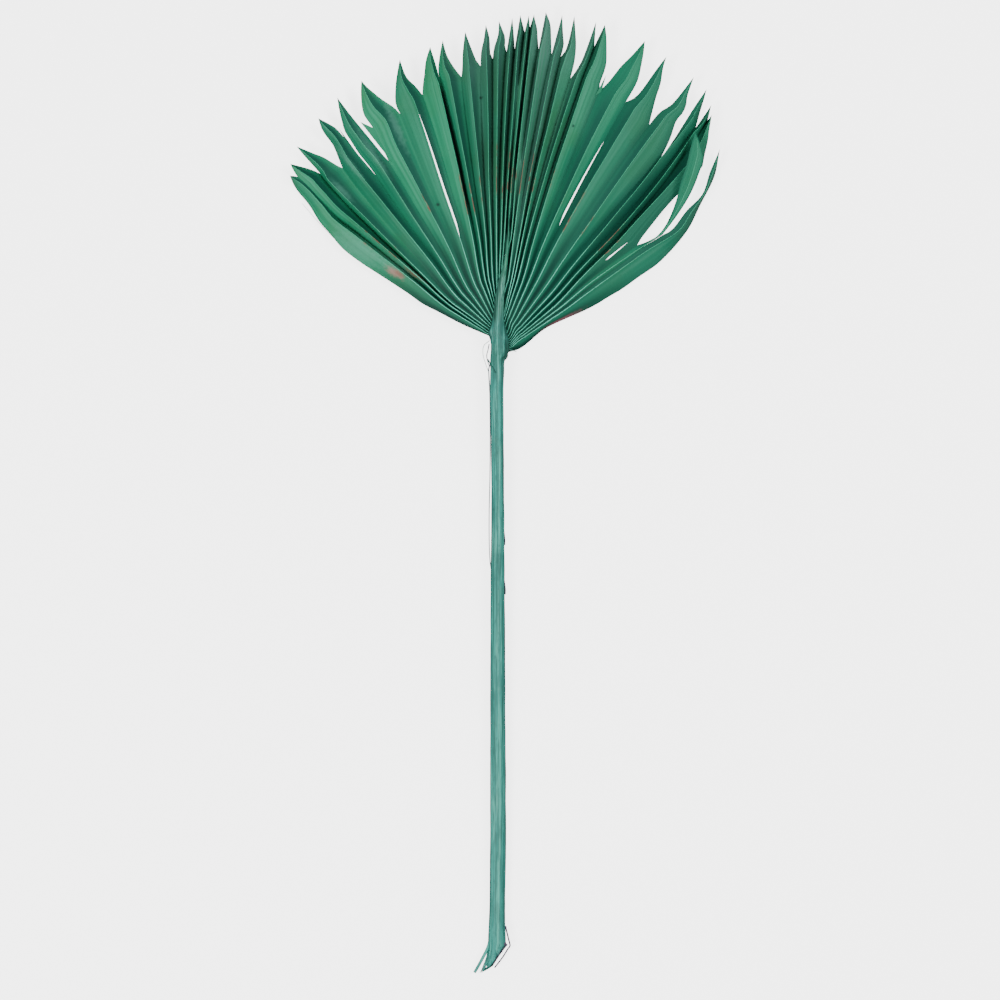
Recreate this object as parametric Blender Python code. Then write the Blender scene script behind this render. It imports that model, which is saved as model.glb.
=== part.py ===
"""A dried fan palm leaf, cut with its stalk and lying flat with its ribbed back up.

Two pieces: the leaf stalk, which swells at the foot of the fan and runs on into it as a tapering
spine, and the pleated fan blade, one closed sheet with its leaflets, notches and slits cut in.
Built in metres, +Z up, with the fan towards +Y. The hub, where the ribs gather, is the zero of
every measure below, and an empty then shifts the leaf to stand round its own middle.
"""

import math

import bmesh
import bpy
from mathutils import Vector

MM = 0.001

# Thickness of the blade, and the steepest side that a pleat may have (rise over run)
BLADE_THICKNESS = 0.00064
STEEPEST_PLEAT = 3.4
STEEPEST_SHEET = 3.9

# How deep the pleats are folded: real width of half a pleat for each metre of reach, and its limit
HALF_PLEAT_PER_REACH = 0.078
DEEPEST_PLEAT = 0.0085

# Height of the pleat ridges above the table at the sides of the fan, and the crown added mid-fan
SIDE_HEIGHT = 0.0046
CROWN_HEIGHT = 0.0100
CROWN_REACH = 0.215
CROWN_BEARING = 5.0
CROWN_SPREAD = 64.0

# The fan rests on its lowest points further out than this, left and right
MIDDLE_WIDTH = 0.040

# Each rib leans a little higher or lower than its neighbours, fully so from this reach on
RIB_LEAN = 0.0006
RIB_LEAN_TURN = 2.4
RIB_LEAN_REACH = 0.160

# Least slope of a pleat's side, and how the wide side is rounded over at the rib
LEAST_SLOPE = 0.35
CREST_ROUNDING = 1.55

# Clearance between the blade's roots and the side of the stalk and spine
ROOT_CLEARANCE = 0.0006

# Points along each rib, bunched a little towards the hub
STEPS = 16
BUNCHING = 1.15

# Reaches, in millimetres from the hub, where each rib's bearing was measured, how far past its
# foot a rib first turns, and the straight stretch's points in between
RIB_REACHES = (34, 57, 92, 126)
FIRST_TURN = 4
STRAIGHT_SHARES = (0.2, 0.4, 0.6, 0.8)

# A valley keeps between these shares of the way from one rib to the next until its notch, and
# leaves the line of its foot over this many millimetres
VALLEY_LEAST = 0.22
VALLEY_MOST = 0.78
FOOT_FADE = 15

# A rib's free end keeps between these shares of its leaflet's width
FREE_RIB_LEAST = 0.15
FREE_RIB_MOST = 0.85

# The leaflet that the spine runs out into: those before it are the left half of the fan
SPINE_LEAFLET = 14

# One row for each leaflet, from left to right. Bearings are degrees from straight up the leaf,
# right of it positive; reaches and heights up the leaf are millimetres from the hub.
# foot of the rib up the stalk, the rib's four bearings, tip bearing and reach,
# taper of the left and right free edges, then the notch to its right: bearing and reach
LEAFLETS = (
    (1.8, (-60.9, -57.0, -55.0, -54.2), (-52.3, 152), 1.0, 1.0, (-52.1, 130)),
    (3.1, (-56.8, -53.3, -51.7, -51.1), (-50.3, 156), 1.3, 0.8, (-47.5, 140)),
    (4.5, (-53.7, -50.6, -48.6, -47.6), (-46.7, 160), 0.9, 0.8, (-42.8, 133)),
    (5.7, (-46.4, -42.6, -41.1, -40.5), (-39.6, 163), 1.3, 0.3, (-37.3, 117)),
    (6.9, (-40.2, -37.0, -35.5, -34.6), (-34.1, 166), 0.35, 1.5, (-32.2, 120)),
    (8.0, (-33.2, -29.8, -28.7, -28.4), (-28.3, 167), 0.35, 1.2, (-24.0, 140)),
    (10.0, (-25.2, -22.3, -21.0, -20.1), (-19.8, 169), 0.5, 2.2, (-17.7, 146)),
    (12.9, (-19.0, -15.6, -14.1, -13.7), (-13.5, 171), 0.85, 1.0, (-13.1, 148)),
    (16.6, (-14.3, -11.8, -11.3, -11.1), (-10.9, 173), 0.45, 2.4, (-8.4, 151)),
    (19.7, (-10.8, -8.2, -7.2, -6.8), (-6.5, 176), 0.9, 1.6, (-4.1, 156)),
    (23.2, (-7.0, -5.1, -4.0, -3.1), (-2.6, 179), 0.7, 1.0, (-1.5, 160)),
    (26.9, (-2.9, -2.0, -1.2, -0.7), (-0.2, 181), 1.3, 0.5, (1.3, 164)),
    (32.6, (-0.7, 0.6, 1.0, 1.4), (2.2, 183), 1.0, 0.8, (2.9, 166)),
    (37.2, (1.3, 2.5, 2.9, 3.3), (3.7, 185), 0.8, 0.8, (4.6, 176)),
    (61.5, (4.6, 4.6, 4.3, 4.7), (5.1, 185), 0.8, 0.8, (5.5, 179)),
    (50.0, (6.3, 6.4, 5.7, 5.8), (6.0, 186), 0.8, 0.6, (7.6, 167)),
    (22.3, (8.1, 7.8, 7.7, 7.9), (8.0, 188), 0.8, 0.8, (10.3, 165)),
    (10.3, (11.3, 10.9, 10.5, 10.7), (10.9, 188), 0.8, 0.4, (12.2, 165)),
    (8.9, (13.6, 12.8, 12.5, 12.8), (13.0, 189), 3.0, 0.5, (15.2, 154)),
    (6.9, (17.0, 15.7, 15.6, 16.0), (16.9, 189), 3.0, 0.8, (17.9, 176)),
    (4.6, (21.8, 19.3, 18.3, 18.3), (18.5, 189), 1.0, 0.5, (21.9, 152)),
    (2.0, (27.2, 24.9, 24.6, 24.8), (26.0, 189), 0.85, 0.4, (28.1, 153)),
    (0.3, (34.0, 31.2, 30.3, 30.4), (30.6, 187), 2.8, 1.2, (35.0, 149)),
    (-1.1, (42.6, 39.2, 37.6, 36.9), (36.6, 186), 1.3, 1.0, (41.8, 138)),
    (-2.2, (50.0, 45.5, 43.4, 42.3), (39.7, 185), 0.9, 1.05, (42.9, 165)),
    (-3.3, (55.2, 50.0, 47.6, 45.6), (42.2, 180), 0.8, 0.8, (43.6, 173)),
    (-4.4, (60.5, 53.7, 50.3, 47.4), (43.5, 176), 0.8, 0.85, (55.9, 95)),
    (-5.3, (64.5, 59.0, 57.3, 56.5), (43.5, 162), 0.8, 0.8, (57.6, 110)),
    (-6.2, (68.5, 62.7, 59.5, 58.4), (49.3, 166), 0.8, 0.8, None),
)

# The leaflet split off at the right, which stands over its neighbour and is hardly pleated
STRAY_LEAFLET = 27
STRAY_PLEAT = 0.15
STRAY_LIFT = 0.0062
STRAY_RISE = 2.2

# Free outlines that no rule gives, as (reach, bearing): the fan's two outer edges, both edges of
# the stray leaflet, and the inner edge of the last leaflet
OUTER_LEFT_FOOT = 0.8
OUTER_LEFT = (
    (23, -70.0), (38, -67.0), (49, -66.0), (57, -64.3), (69, -62.9), (80, -62.1), (92, -61.4),
    (104, -60.3), (114, -58.5), (123, -57.2), (134, -55.0), (144, -53.9), (152, -52.3),
)
OUTER_RIGHT_FOOT = -7.9
OUTER_RIGHT = (
    (13, 117.0), (26, 78.5), (40, 73.4), (50, 72.0), (59, 70.6), (67, 69.1), (75, 68.1),
    (86, 66.3), (102, 64.4), (124, 60.1), (138, 56.4), (155, 52.8), (166, 49.3),
)
STRAY_LEFT = (
    (95, 55.9), (100, 56.7), (107, 57.1), (111, 56.8), (119, 54.6), (128, 51.9), (135, 49.6),
    (145, 47.2), (154, 45.0), (162, 43.5),
)
STRAY_RIGHT = (
    (110, 57.6), (116, 56.6), (123, 55.4), (132, 53.8), (139, 52.4), (148, 50.3), (154, 48.8),
    (158, 46.4), (162, 43.5),
)
LAST_INNER = ((110, 57.6), (116, 57.8), (129, 55.7), (142, 54.6), (153, 51.7), (166, 49.3))

# Slits that let light through: leaflet number, reach from and to, width in degrees, and where the
# slit stands in the right half of the pleat, from 0 at the rib to 1 at the valley
SLITS = {
    6: (62, 138, 0.85, 0.0),
    21: (76, 126, 0.65, 1.0),
    26: (75, 94, 0.75, 0.5),
}
SLIT_END_OPENING = 0.3
SLIT_WIDEST_SHARE = 0.45

# The stalk from the spine's end to the cut end: how far up the leaf, left edge, right edge,
# height of its middle above the table, and thickness, in millimetres
STALK = (
    (58.0, 4.4, 5.2, 17.0, 1.4),
    (54.0, 3.7, 4.95, 16.7, 2.0),
    (47.5, 3.0, 4.6, 16.1, 2.8),
    (38.9, 1.9, 3.9, 15.2, 3.6),
    (33.2, 0.0, 3.0, 14.6, 4.2),
    (27.5, -0.7, 2.5, 13.9, 4.8),
    (21.7, -1.6, 2.0, 13.2, 5.6),
    (15.4, -2.7, 1.9, 12.4, 6.6),
    (10.3, -4.9, 2.1, 11.8, 7.6),
    (6.3, -6.3, 2.7, 11.4, 8.2),
    (2.9, -6.8, 3.7, 11.1, 8.6),
    (-0.6, -5.8, 4.6, 10.8, 8.8),
    (-4.6, -5.4, 5.0, 10.5, 8.8),
    (-9.2, -5.4, 4.5, 10.3, 8.6),
    (-12.6, -5.5, 2.7, 10.1, 8.4),
    (-19.4, -5.5, 2.4, 9.8, 8.3),
    (-35.5, -5.5, 1.9, 9.4, 8.2),
    (-90.0, -4.9, 2.4, 8.3, 8.1),
    (-135.0, -5.2, 2.6, 7.4, 8.1),
    (-178.0, -5.5, 2.9, 6.6, 8.2),
    (-220.0, -5.6, 3.1, 5.9, 8.3),
    (-260.0, -5.7, 3.4, 5.2, 8.4),
    (-293.0, -5.6, 3.4, 4.6, 8.5),
)
STALK_SIDES = 14

# The last stretch of the stalk has a small flat underneath, on which it rests
REST_FROM = -329.0
REST_TO = -346.0
REST_LEFT = (-6.1, -6.7)
REST_RIGHT = (2.9, 3.4)
REST_THICKNESS = 8.5

# The torn cut end: how far it runs on beyond the flat at the right and at the left edge
TEAR_RIGHT = 2.0
TEAR_LEFT = 14.0
TEAR_RAGGEDNESS = 1.1
TEAR_WAVES = (2.1, 9.0)
TEAR_HEIGHT = 4.2
TEAR_PINCH_RIGHT = 0.18
TEAR_PINCH_LEFT = 0.53

# Splinters at the cut end: root and tip as (across, along, height), and width at the root
SPLINTERS = (
    ((-6.2, -346.0, 5.4), (-14.6, -364.0, 3.6), 1.5),
    ((-4.4, -354.0, 4.0), (-10.9, -364.0, 2.2), 2.4),
)
SPLINTER_TIP = 0.35


def clear_scene():
    for old in list(bpy.data.objects):
        bpy.data.objects.remove(old, do_unlink=True)


def material(name, colour, roughness):
    made = bpy.data.materials.new(name)
    made.use_nodes = True
    shader = made.node_tree.nodes["Principled BSDF"]
    shader.inputs["Base Color"].default_value = (*colour, 1.0)
    shader.inputs["Roughness"].default_value = roughness
    shader.inputs["Metallic"].default_value = 0.0
    return made


def add_object(name, mesh_builder, finish, parent):
    mesh = bpy.data.meshes.new(name)
    mesh_builder.to_mesh(mesh)
    mesh_builder.free()
    mesh.materials.append(finish)
    piece = bpy.data.objects.new(name, mesh)
    bpy.context.scene.collection.objects.link(piece)
    piece.parent = parent
    return piece


def mix(a, b, share):
    return a + (b - a) * share


def ease(share):
    share = min(1.0, max(0.0, share))
    return share * share * (3.0 - 2.0 * share)


def follow(points, at):
    """Height of a smooth curve through (x, y) points, level beyond its ends."""
    if at <= points[0][0]:
        return points[0][1]
    if at >= points[-1][0]:
        return points[-1][1]
    last = len(points) - 1
    start = max(index for index in range(last) if points[index][0] <= at)

    def slope(index):
        before = points[max(index - 1, 0)]
        after = points[min(index + 1, last)]
        return (after[1] - before[1]) / (after[0] - before[0])

    (x0, y0), (x1, y1) = points[start], points[start + 1]
    span = x1 - x0
    t = (at - x0) / span
    return (
        y0 * (1 + 2 * t) * (1 - t) ** 2
        + y1 * t * t * (3 - 2 * t)
        + slope(start) * span * t * (1 - t) ** 2
        - slope(start + 1) * span * t * t * (1 - t)
    )


def plan(bearing, reach):
    """The point of the plan at a bearing in degrees and a reach from the hub."""
    angle = math.radians(bearing)
    return Vector((reach * math.sin(angle), reach * math.cos(angle)))


def polar(point):
    return math.degrees(math.atan2(point.x, point.y)), point.length


def stalk_edge(along, side):
    """Where the left (-1) or right (+1) edge of the stalk lies, this far up the leaf."""
    column = 1 if side < 0 else 2
    for upper, lower in zip(STALK, STALK[1:]):
        if upper[0] >= along >= lower[0]:
            share = (upper[0] - along) / (upper[0] - lower[0])
            return mix(upper[column], lower[column], share) * MM
    return STALK[0][column] * MM


def foot(along, side):
    """Where a rib or valley starts, beside the stalk or spine."""
    return Vector((stalk_edge(along, side) + side * ROOT_CLEARANCE, along * MM))


def share_of_step(step, steps):
    return (step / steps) ** BUNCHING


def side_of(number):
    return -1 if number < SPINE_LEAFLET else 1


def rib_foot(number):
    along = LEAFLETS[number][0]
    if number == SPINE_LEAFLET:
        middle = (STALK[0][1] + STALK[0][2]) / 2
        return Vector((middle * MM, along * MM))
    return foot(along, side_of(number))


def rib_bearing(number, reach):
    """Bearing of a rib at a reach: straight from its foot, then through its measured bearings."""
    start = rib_foot(number)
    measured = []
    for bearing, at in zip(LEAFLETS[number][1], RIB_REACHES):
        if at * MM > start.length + FIRST_TURN * MM:
            measured.append((at * MM, bearing))
    first_turn = plan(measured[0][1], measured[0][0])
    points = []
    for share in (0.0,) + STRAIGHT_SHARES:
        bearing, at = polar(start.lerp(first_turn, share))
        points.append((at, bearing))
    tip_bearing, tip_reach = LEAFLETS[number][2]
    points += measured + [(tip_reach * MM, tip_bearing)]
    return follow(points, reach)


def rib_reach(number, step):
    start = rib_foot(number).length
    return mix(start, LEAFLETS[number][2][1] * MM, share_of_step(step, STEPS))


def valley_foot(number):
    """Foot of the valley between this leaflet and the next."""
    along = (LEAFLETS[number][0] + LEAFLETS[number + 1][0]) / 2
    side = side_of(number)
    if number == SPINE_LEAFLET:
        along = STALK[0][0]
    if number == SPINE_LEAFLET - 1:
        along = STALK[0][0]
        side = -1
    return foot(along, side)


def valley_steps(number):
    """How many steps the valley takes from its foot to its notch."""
    start = valley_foot(number).length
    end = LEAFLETS[number][5][1] * MM
    whole = LEAFLETS[number][2][1] * MM
    share = (end - start) / (whole - start)
    return min(STEPS - 1, round(STEPS * share ** (1 / BUNCHING)))


def valley_points(number):
    """The valley's points in plan, between the ribs on its two sides."""
    notch_bearing, notch_reach = LEAFLETS[number][5]
    notch_reach *= MM
    steps = valley_steps(number)
    foot_bearing, start = polar(valley_foot(number))
    left = rib_bearing(number, notch_reach)
    right = rib_bearing(number + 1, notch_reach)
    notch_share = (notch_bearing - left) / (right - left)

    def between_ribs(reach):
        rise = ((reach - start) / (notch_reach - start)) ** 3
        share = mix(0.5, notch_share, rise)
        share = mix(min(VALLEY_MOST, max(VALLEY_LEAST, share)), share, rise)
        return mix(rib_bearing(number, reach), rib_bearing(number + 1, reach), share)

    offset = foot_bearing - between_ribs(start)
    points = []
    for step in range(steps + 1):
        reach = mix(start, notch_reach, share_of_step(step, steps))
        fade = 1 - ease((reach - start) / (FOOT_FADE * MM))
        points.append(plan(between_ribs(reach) + offset * fade, reach))
    return points


def outer_edge(outline, along, side):
    """An outer edge of the fan, from its foot on the stalk to its leaflet's tip."""
    places = [foot(along, side)] + [plan(bearing, reach * MM) for reach, bearing in outline]
    passed = [0.0]
    for before, after in zip(places, places[1:]):
        passed.append(passed[-1] + (after - before).length)
    across = list(zip(passed, (place.x for place in places)))
    upward = list(zip(passed, (place.y for place in places)))
    made = []
    for step in range(STEPS + 1):
        at = passed[-1] * share_of_step(step, STEPS)
        made.append(Vector((follow(across, at), follow(upward, at))))
    return made


def free_edge(notch, tip, taper, steps, outline=None):
    """A leaflet's free edge, from just past the notch to the tip."""
    points = []
    for step in range(1, steps + 1):
        share = step / steps
        reach = mix(notch[1], tip[1], share) * MM
        if outline:
            listed = [(at * MM, bearing) for at, bearing in outline]
            bearing = follow(listed, reach)
        else:
            bearing = tip[0] + (notch[0] - tip[0]) * (1 - share) ** taper
        points.append(plan(bearing, reach))
    return points


def leaflet_lines():
    """For each leaflet, its left edge, rib and right edge in plan, with the notch steps."""
    valleys = [valley_points(number) for number in range(len(LEAFLETS) - 1)]
    own_left = {STRAY_LEAFLET: STRAY_LEFT, STRAY_LEAFLET + 1: LAST_INNER}
    own_right = {STRAY_LEAFLET: STRAY_RIGHT}
    lines = []
    for number, (_, _, tip, left_taper, right_taper, notch) in enumerate(LEAFLETS):
        if number == 0:
            left = outer_edge(OUTER_LEFT, OUTER_LEFT_FOOT, -1)
            left_notch = STEPS
        else:
            left = list(valleys[number - 1])
            left_notch = len(left) - 1
            before = LEAFLETS[number - 1][5]
            outline = own_left.get(number)
            left += free_edge(before, tip, left_taper, STEPS - left_notch, outline)
        if notch is None:
            right = outer_edge(OUTER_RIGHT, OUTER_RIGHT_FOOT, 1)
            right_notch = STEPS
        else:
            right = list(valleys[number])
            right_notch = len(right) - 1
            outline = own_right.get(number)
            right += free_edge(notch, tip, right_taper, STEPS - right_notch, outline)
        rib = rib_points(number, left, right, min(left_notch, right_notch))
        lines.append((left, rib, right, left_notch, right_notch))
    return lines


def rib_points(number, left, right, first_free):
    """The rib follows its bearings, then keeps its place between the free edges."""
    points = []
    for step in range(STEPS + 1):
        reach = rib_reach(number, step)
        points.append(plan(rib_bearing(number, reach), reach))
    across = right[first_free] - left[first_free]
    share = (points[first_free] - left[first_free]).dot(across) / across.length_squared
    share = min(FREE_RIB_MOST, max(FREE_RIB_LEAST, share))
    for step in range(first_free + 1, STEPS + 1):
        passed = (step - first_free) / (STEPS - first_free)
        here = mix(share, 0.5, passed)
        between = left[step].lerp(right[step], here)
        points[step] = points[step].lerp(between, ease(passed * 3))
    return points


def ridge_height(number, point):
    """How high a rib stands: low at the sides of the fan, crowned in the middle."""
    bearing, reach = polar(point)
    away = min(1.0, abs(bearing - CROWN_BEARING) / CROWN_SPREAD)
    crown = math.cos(away * math.pi / 2) ** 1.5
    rise = math.sin(math.pi * min(reach, CROWN_REACH) / CROWN_REACH)
    own_lean = RIB_LEAN * math.sin(number * RIB_LEAN_TURN) * ease(reach / RIB_LEAN_REACH)
    return SIDE_HEIGHT + CROWN_HEIGHT * crown * rise + own_lean


def pleat_drop(number, rib, valley):
    """How far a valley lies below its rib, from the width that half a pleat really has."""
    run = (rib - valley).length
    real = min(DEEPEST_PLEAT, rib.length * HALF_PLEAT_PER_REACH)
    drop = math.sqrt(max(real * real - run * run, (LEAST_SLOPE * run) ** 2))
    drop = min(drop, run * STEEPEST_PLEAT)
    if number == STRAY_LEAFLET:
        drop *= STRAY_PLEAT
    return drop


def lift_stray(heights, first_free):
    """Lift the free part of the stray leaflet over its neighbour."""
    for part in heights.values():
        for step in range(first_free, STEPS + 1):
            passed = (step - first_free) / (STEPS - first_free)
            part[step] += STRAY_LIFT * ease(passed * STRAY_RISE)


def raise_lines(lines):
    """Give every plan point its height, with neighbours sharing their valley's."""
    raised = []
    for number, (left, rib, right, _, _) in enumerate(lines):
        ridge = [ridge_height(number, point) for point in rib]
        raised.append({
            "rib": ridge,
            "left": [z - pleat_drop(number, a, b) for z, a, b in zip(ridge, rib, left)],
            "right": [z - pleat_drop(number, a, b) for z, a, b in zip(ridge, rib, right)],
        })
    for number in range(len(lines) - 1):
        shared = lines[number][4]
        right = raised[number]["right"]
        left = raised[number + 1]["left"]
        for step in range(shared + 1):
            level = max(right[step], left[step])
            right[step] = level
            left[step] = level
        fade_to_tip(right, raised[number]["rib"], shared)
        fade_to_tip(left, raised[number + 1]["rib"], shared)
    lift_stray(raised[STRAY_LEAFLET], lines[STRAY_LEAFLET][3])
    return raised


def fade_to_tip(edge, ridge, notch_step):
    """Past its notch an edge rises to meet the rib at the tip."""
    depth = ridge[notch_step] - edge[notch_step]
    for step in range(notch_step + 1, STEPS + 1):
        left_over = (STEPS - step) / (STEPS - notch_step)
        edge[step] = ridge[step] - depth * left_over


def lifted(points, heights):
    return [Vector((point.x, point.y, height)) for point, height in zip(points, heights)]


def face_shares(wide):
    """Rows of points across half a pleat, from the rib (0) to the valley (1)."""
    return [0.0, 0.5, 1.0] if wide else [0.0, 1.0]


def crest_drop(share):
    """Half a pleat is rounded over at the rib and steep at the valley."""
    return share ** CREST_ROUNDING


def half_pleat(builder, rib, edge, wide, slit=None):
    """Lay a grid between a rib and an edge line, with a slit left out of it if there is one."""
    shares = [[share] * (STEPS + 1) for share in face_shares(wide)]
    gap_row = None
    gap_steps = ()
    if slit:
        shares, gap_row, gap_steps = cut_slit(shares, rib, edge, slit)
    rows = len(shares) - 1
    grid = bmesh.ops.create_grid(builder, x_segments=STEPS, y_segments=rows, size=0.5)
    places = {}
    for vert in grid["verts"]:
        step = round((vert.co.x + 0.5) * STEPS)
        row = round((vert.co.y + 0.5) * rows)
        places[vert] = (step, row)
    removed = []
    for face in {face for vert in grid["verts"] for face in vert.link_faces}:
        step = min(places[vert][0] for vert in face.verts)
        row = min(places[vert][1] for vert in face.verts)
        if row == gap_row and step in gap_steps:
            removed.append(face)
    for vert, (step, row) in places.items():
        share = shares[row][step]
        point = rib[step].lerp(edge[step], share)
        point.z = mix(rib[step].z, edge[step].z, crest_drop(share) if wide else share)
        vert.co = point
    bmesh.ops.delete(builder, geom=removed, context="FACES_ONLY")


def cut_slit(shares, rib, edge, slit):
    """Add the rows that bound a slit, and say which row and steps it opens."""
    start, end, width, place = slit
    steps = [step for step in range(STEPS) if start * MM <= rib[step].length <= end * MM]
    first = steps[0]
    last = max(steps[-1], first + 2)
    near = []
    far = []
    for step in range(STEPS + 1):
        run = (rib[step] - edge[step]).xy.length or 1.0
        along = min(1.0, max(0.0, (step - first) / (last - first)))
        opening = rib[step].length * math.radians(width)
        opening *= mix(SLIT_END_OPENING, 1.0, math.sin(math.pi * along))
        share = min(SLIT_WIDEST_SHARE, opening / run)
        low = mix(0.0, 1.0 - share, place)
        near.append(low)
        far.append(low + share)
    gap_steps = range(first, last)
    if place == 0.0:
        return [near, far, [1.0] * (STEPS + 1)], 0, gap_steps
    if place == 1.0:
        middle = [SLIT_WIDEST_SHARE] * (STEPS + 1)
        return [[0.0] * (STEPS + 1), middle, near, far], 2, gap_steps
    return [[0.0] * (STEPS + 1), near, far, [1.0] * (STEPS + 1)], 1, gap_steps


def steepness(vert):
    """Steepest rise over run of the top surface round a point."""
    steepest = 0.0
    for face in vert.link_faces:
        normal = face.normal
        if abs(normal.z) > 1e-4:
            steepest = max(steepest, normal.xy.length / abs(normal.z))
    return steepest


def thicken(builder):
    """Drop a copy of the sheet below itself, plumb, so that the two can never cross."""
    depth = builder.verts.layers.float.new("depth")
    for vert in builder.verts:
        slope = min(steepness(vert), STEEPEST_SHEET)
        vert[depth] = BLADE_THICKNESS * math.sqrt(1 + slope * slope)
    made = bmesh.ops.extrude_face_region(builder, geom=list(builder.faces))
    for item in made["geom"]:
        if isinstance(item, bmesh.types.BMVert):
            item.co.z -= item[depth]


def set_on_table(builder):
    """Tilt the sheet a touch so that its lowest points left and right both touch the table."""
    left = min((v.co for v in builder.verts if v.co.x < -MIDDLE_WIDTH), key=lambda co: co.z)
    right = min((v.co for v in builder.verts if v.co.x > MIDDLE_WIDTH), key=lambda co: co.z)
    lean = (right.z - left.z) / (right.x - left.x)
    level = left.z - lean * left.x
    for vert in builder.verts:
        vert.co.z -= level + lean * vert.co.x


def fan_blade(finish, parent):
    """The pleated sheet, from the foot of its ribs to its torn tips."""
    lines = leaflet_lines()
    raised = raise_lines(lines)
    builder = bmesh.new()
    for number, (left, rib, right, _, _) in enumerate(lines):
        rib_line = lifted(rib, raised[number]["rib"])
        left_line = lifted(left, raised[number]["left"])
        right_line = lifted(right, raised[number]["right"])
        leftwards = number <= SPINE_LEAFLET
        half_pleat(builder, rib_line, left_line, leftwards)
        half_pleat(builder, rib_line, right_line, not leftwards, SLITS.get(number))
    bmesh.ops.remove_doubles(builder, verts=builder.verts, dist=0.00001)
    loose = [vert for vert in builder.verts if not vert.link_faces]
    bmesh.ops.delete(builder, geom=loose, context="VERTS")
    bmesh.ops.triangulate(builder, faces=builder.faces)
    bmesh.ops.recalc_face_normals(builder, faces=builder.faces)
    thicken(builder)
    set_on_table(builder)
    bmesh.ops.recalc_face_normals(builder, faces=builder.faces)
    return add_object("fan_blade", builder, finish, parent)


def stalk_ring(builder, along, left, right, middle, thickness):
    """One oval ring of the stalk, with a side squarely underneath."""
    ring = bmesh.ops.create_circle(builder, segments=STALK_SIDES, radius=1.0)["verts"]
    for vert in ring:
        turn = math.atan2(vert.co.y, vert.co.x)
        across = (left + right) / 2 + (right - left) / 2 * math.sin(turn)
        height = middle - thickness / 2 * math.cos(turn)
        vert.co = Vector((across, along, height)) * MM
    return ring


def ring_edges(ring):
    members = set(ring)
    edges = {edge for vert in ring for edge in vert.link_edges}
    return [edge for edge in edges if set(edge.verts) <= members]


def tear_off(ring):
    """Drag the last ring down to the slanting, ragged line where the stalk was torn."""
    left = min(vert.co.x for vert in ring)
    right = max(vert.co.x for vert in ring)
    for vert in ring:
        share = (right - vert.co.x) / (right - left)
        rag = TEAR_RAGGEDNESS * math.sin(vert.co.z / MM * TEAR_WAVES[0] + share * TEAR_WAVES[1])
        vert.co.y -= (mix(TEAR_RIGHT, TEAR_LEFT, share) + rag) * MM
        pinch = mix(TEAR_PINCH_RIGHT, TEAR_PINCH_LEFT, share)
        vert.co.z = mix(vert.co.z, TEAR_HEIGHT * MM, pinch)


def leaf_stalk(finish, parent):
    """The round stalk, its swollen top and the spine that tapers into the fan."""
    builder = bmesh.new()
    flat_middle = REST_THICKNESS / 2 * math.cos(math.pi / STALK_SIDES)
    stations = list(STALK)
    stations.append((REST_FROM, REST_LEFT[0], REST_RIGHT[0], flat_middle, REST_THICKNESS))
    stations.append((REST_TO, REST_LEFT[1], REST_RIGHT[1], flat_middle, REST_THICKNESS))
    stations.append(stations[-1])
    rings = [stalk_ring(builder, *station) for station in stations]
    tear_off(rings[-1])
    for upper, lower in zip(rings, rings[1:]):
        bmesh.ops.bridge_loops(builder, edges=ring_edges(upper) + ring_edges(lower))
    for ring in (rings[0], rings[-1]):
        bmesh.ops.contextual_create(builder, geom=ring_edges(ring))
    bmesh.ops.triangulate(builder, faces=[f for f in builder.faces if len(f.verts) > 4])
    bmesh.ops.recalc_face_normals(builder, faces=builder.faces)
    stalk = add_object("leaf_stalk", builder, finish, parent)
    splinters = splinter_set()
    join_splinters(stalk, splinters)
    return stalk


def splinter(root, tip, width):
    """A thin four-sided sliver of the stalk's skin, standing off the torn end."""
    builder = bmesh.new()
    root = Vector(root) * MM
    tip = Vector(tip) * MM
    way = (tip - root).normalized()
    bmesh.ops.create_cone(
        builder, cap_ends=True, segments=4, radius1=width * MM / 2,
        radius2=SPLINTER_TIP * MM, depth=(tip - root).length,
    )
    bmesh.ops.translate(builder, verts=builder.verts, vec=(0, 0, (tip - root).length / 2))
    bmesh.ops.rotate(
        builder, verts=builder.verts, cent=(0, 0, 0),
        matrix=Vector((0, 0, 1)).rotation_difference(way).to_matrix(),
    )
    bmesh.ops.translate(builder, verts=builder.verts, vec=root)
    mesh = bpy.data.meshes.new("splinter")
    builder.to_mesh(mesh)
    builder.free()
    piece = bpy.data.objects.new("splinter", mesh)
    piece.hide_render = True
    piece.display_type = "WIRE"
    return piece


def splinter_set():
    group = bpy.data.collections.new("splinters")
    for root, tip, width in SPLINTERS:
        group.objects.link(splinter(root, tip, width))
    return group


def join_splinters(stalk, group):
    """Unite the splinters with the stalk, then let them go."""
    bpy.context.scene.collection.children.link(group)
    union = stalk.modifiers.new("splinters", "BOOLEAN")
    union.operation = "UNION"
    union.operand_type = "COLLECTION"
    union.collection = group
    union.solver = "EXACT"
    bpy.context.view_layer.update()
    seen = stalk.evaluated_get(bpy.context.evaluated_depsgraph_get())
    joined = bpy.data.meshes.new_from_object(seen)
    stalk.modifiers.clear()
    stalk.data = joined
    for piece in list(group.objects):
        bpy.data.objects.remove(piece, do_unlink=True)
    bpy.data.collections.remove(group)


def centre_on_origin(origin, pieces):
    """Shift the leaf so that the middle of its footprint stands over the origin."""
    points = [vert.co for piece in pieces for vert in piece.data.vertices]
    middle_x = (min(p.x for p in points) + max(p.x for p in points)) / 2
    middle_y = (min(p.y for p in points) + max(p.y for p in points)) / 2
    origin.location = (-middle_x, -middle_y, 0.0)


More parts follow.
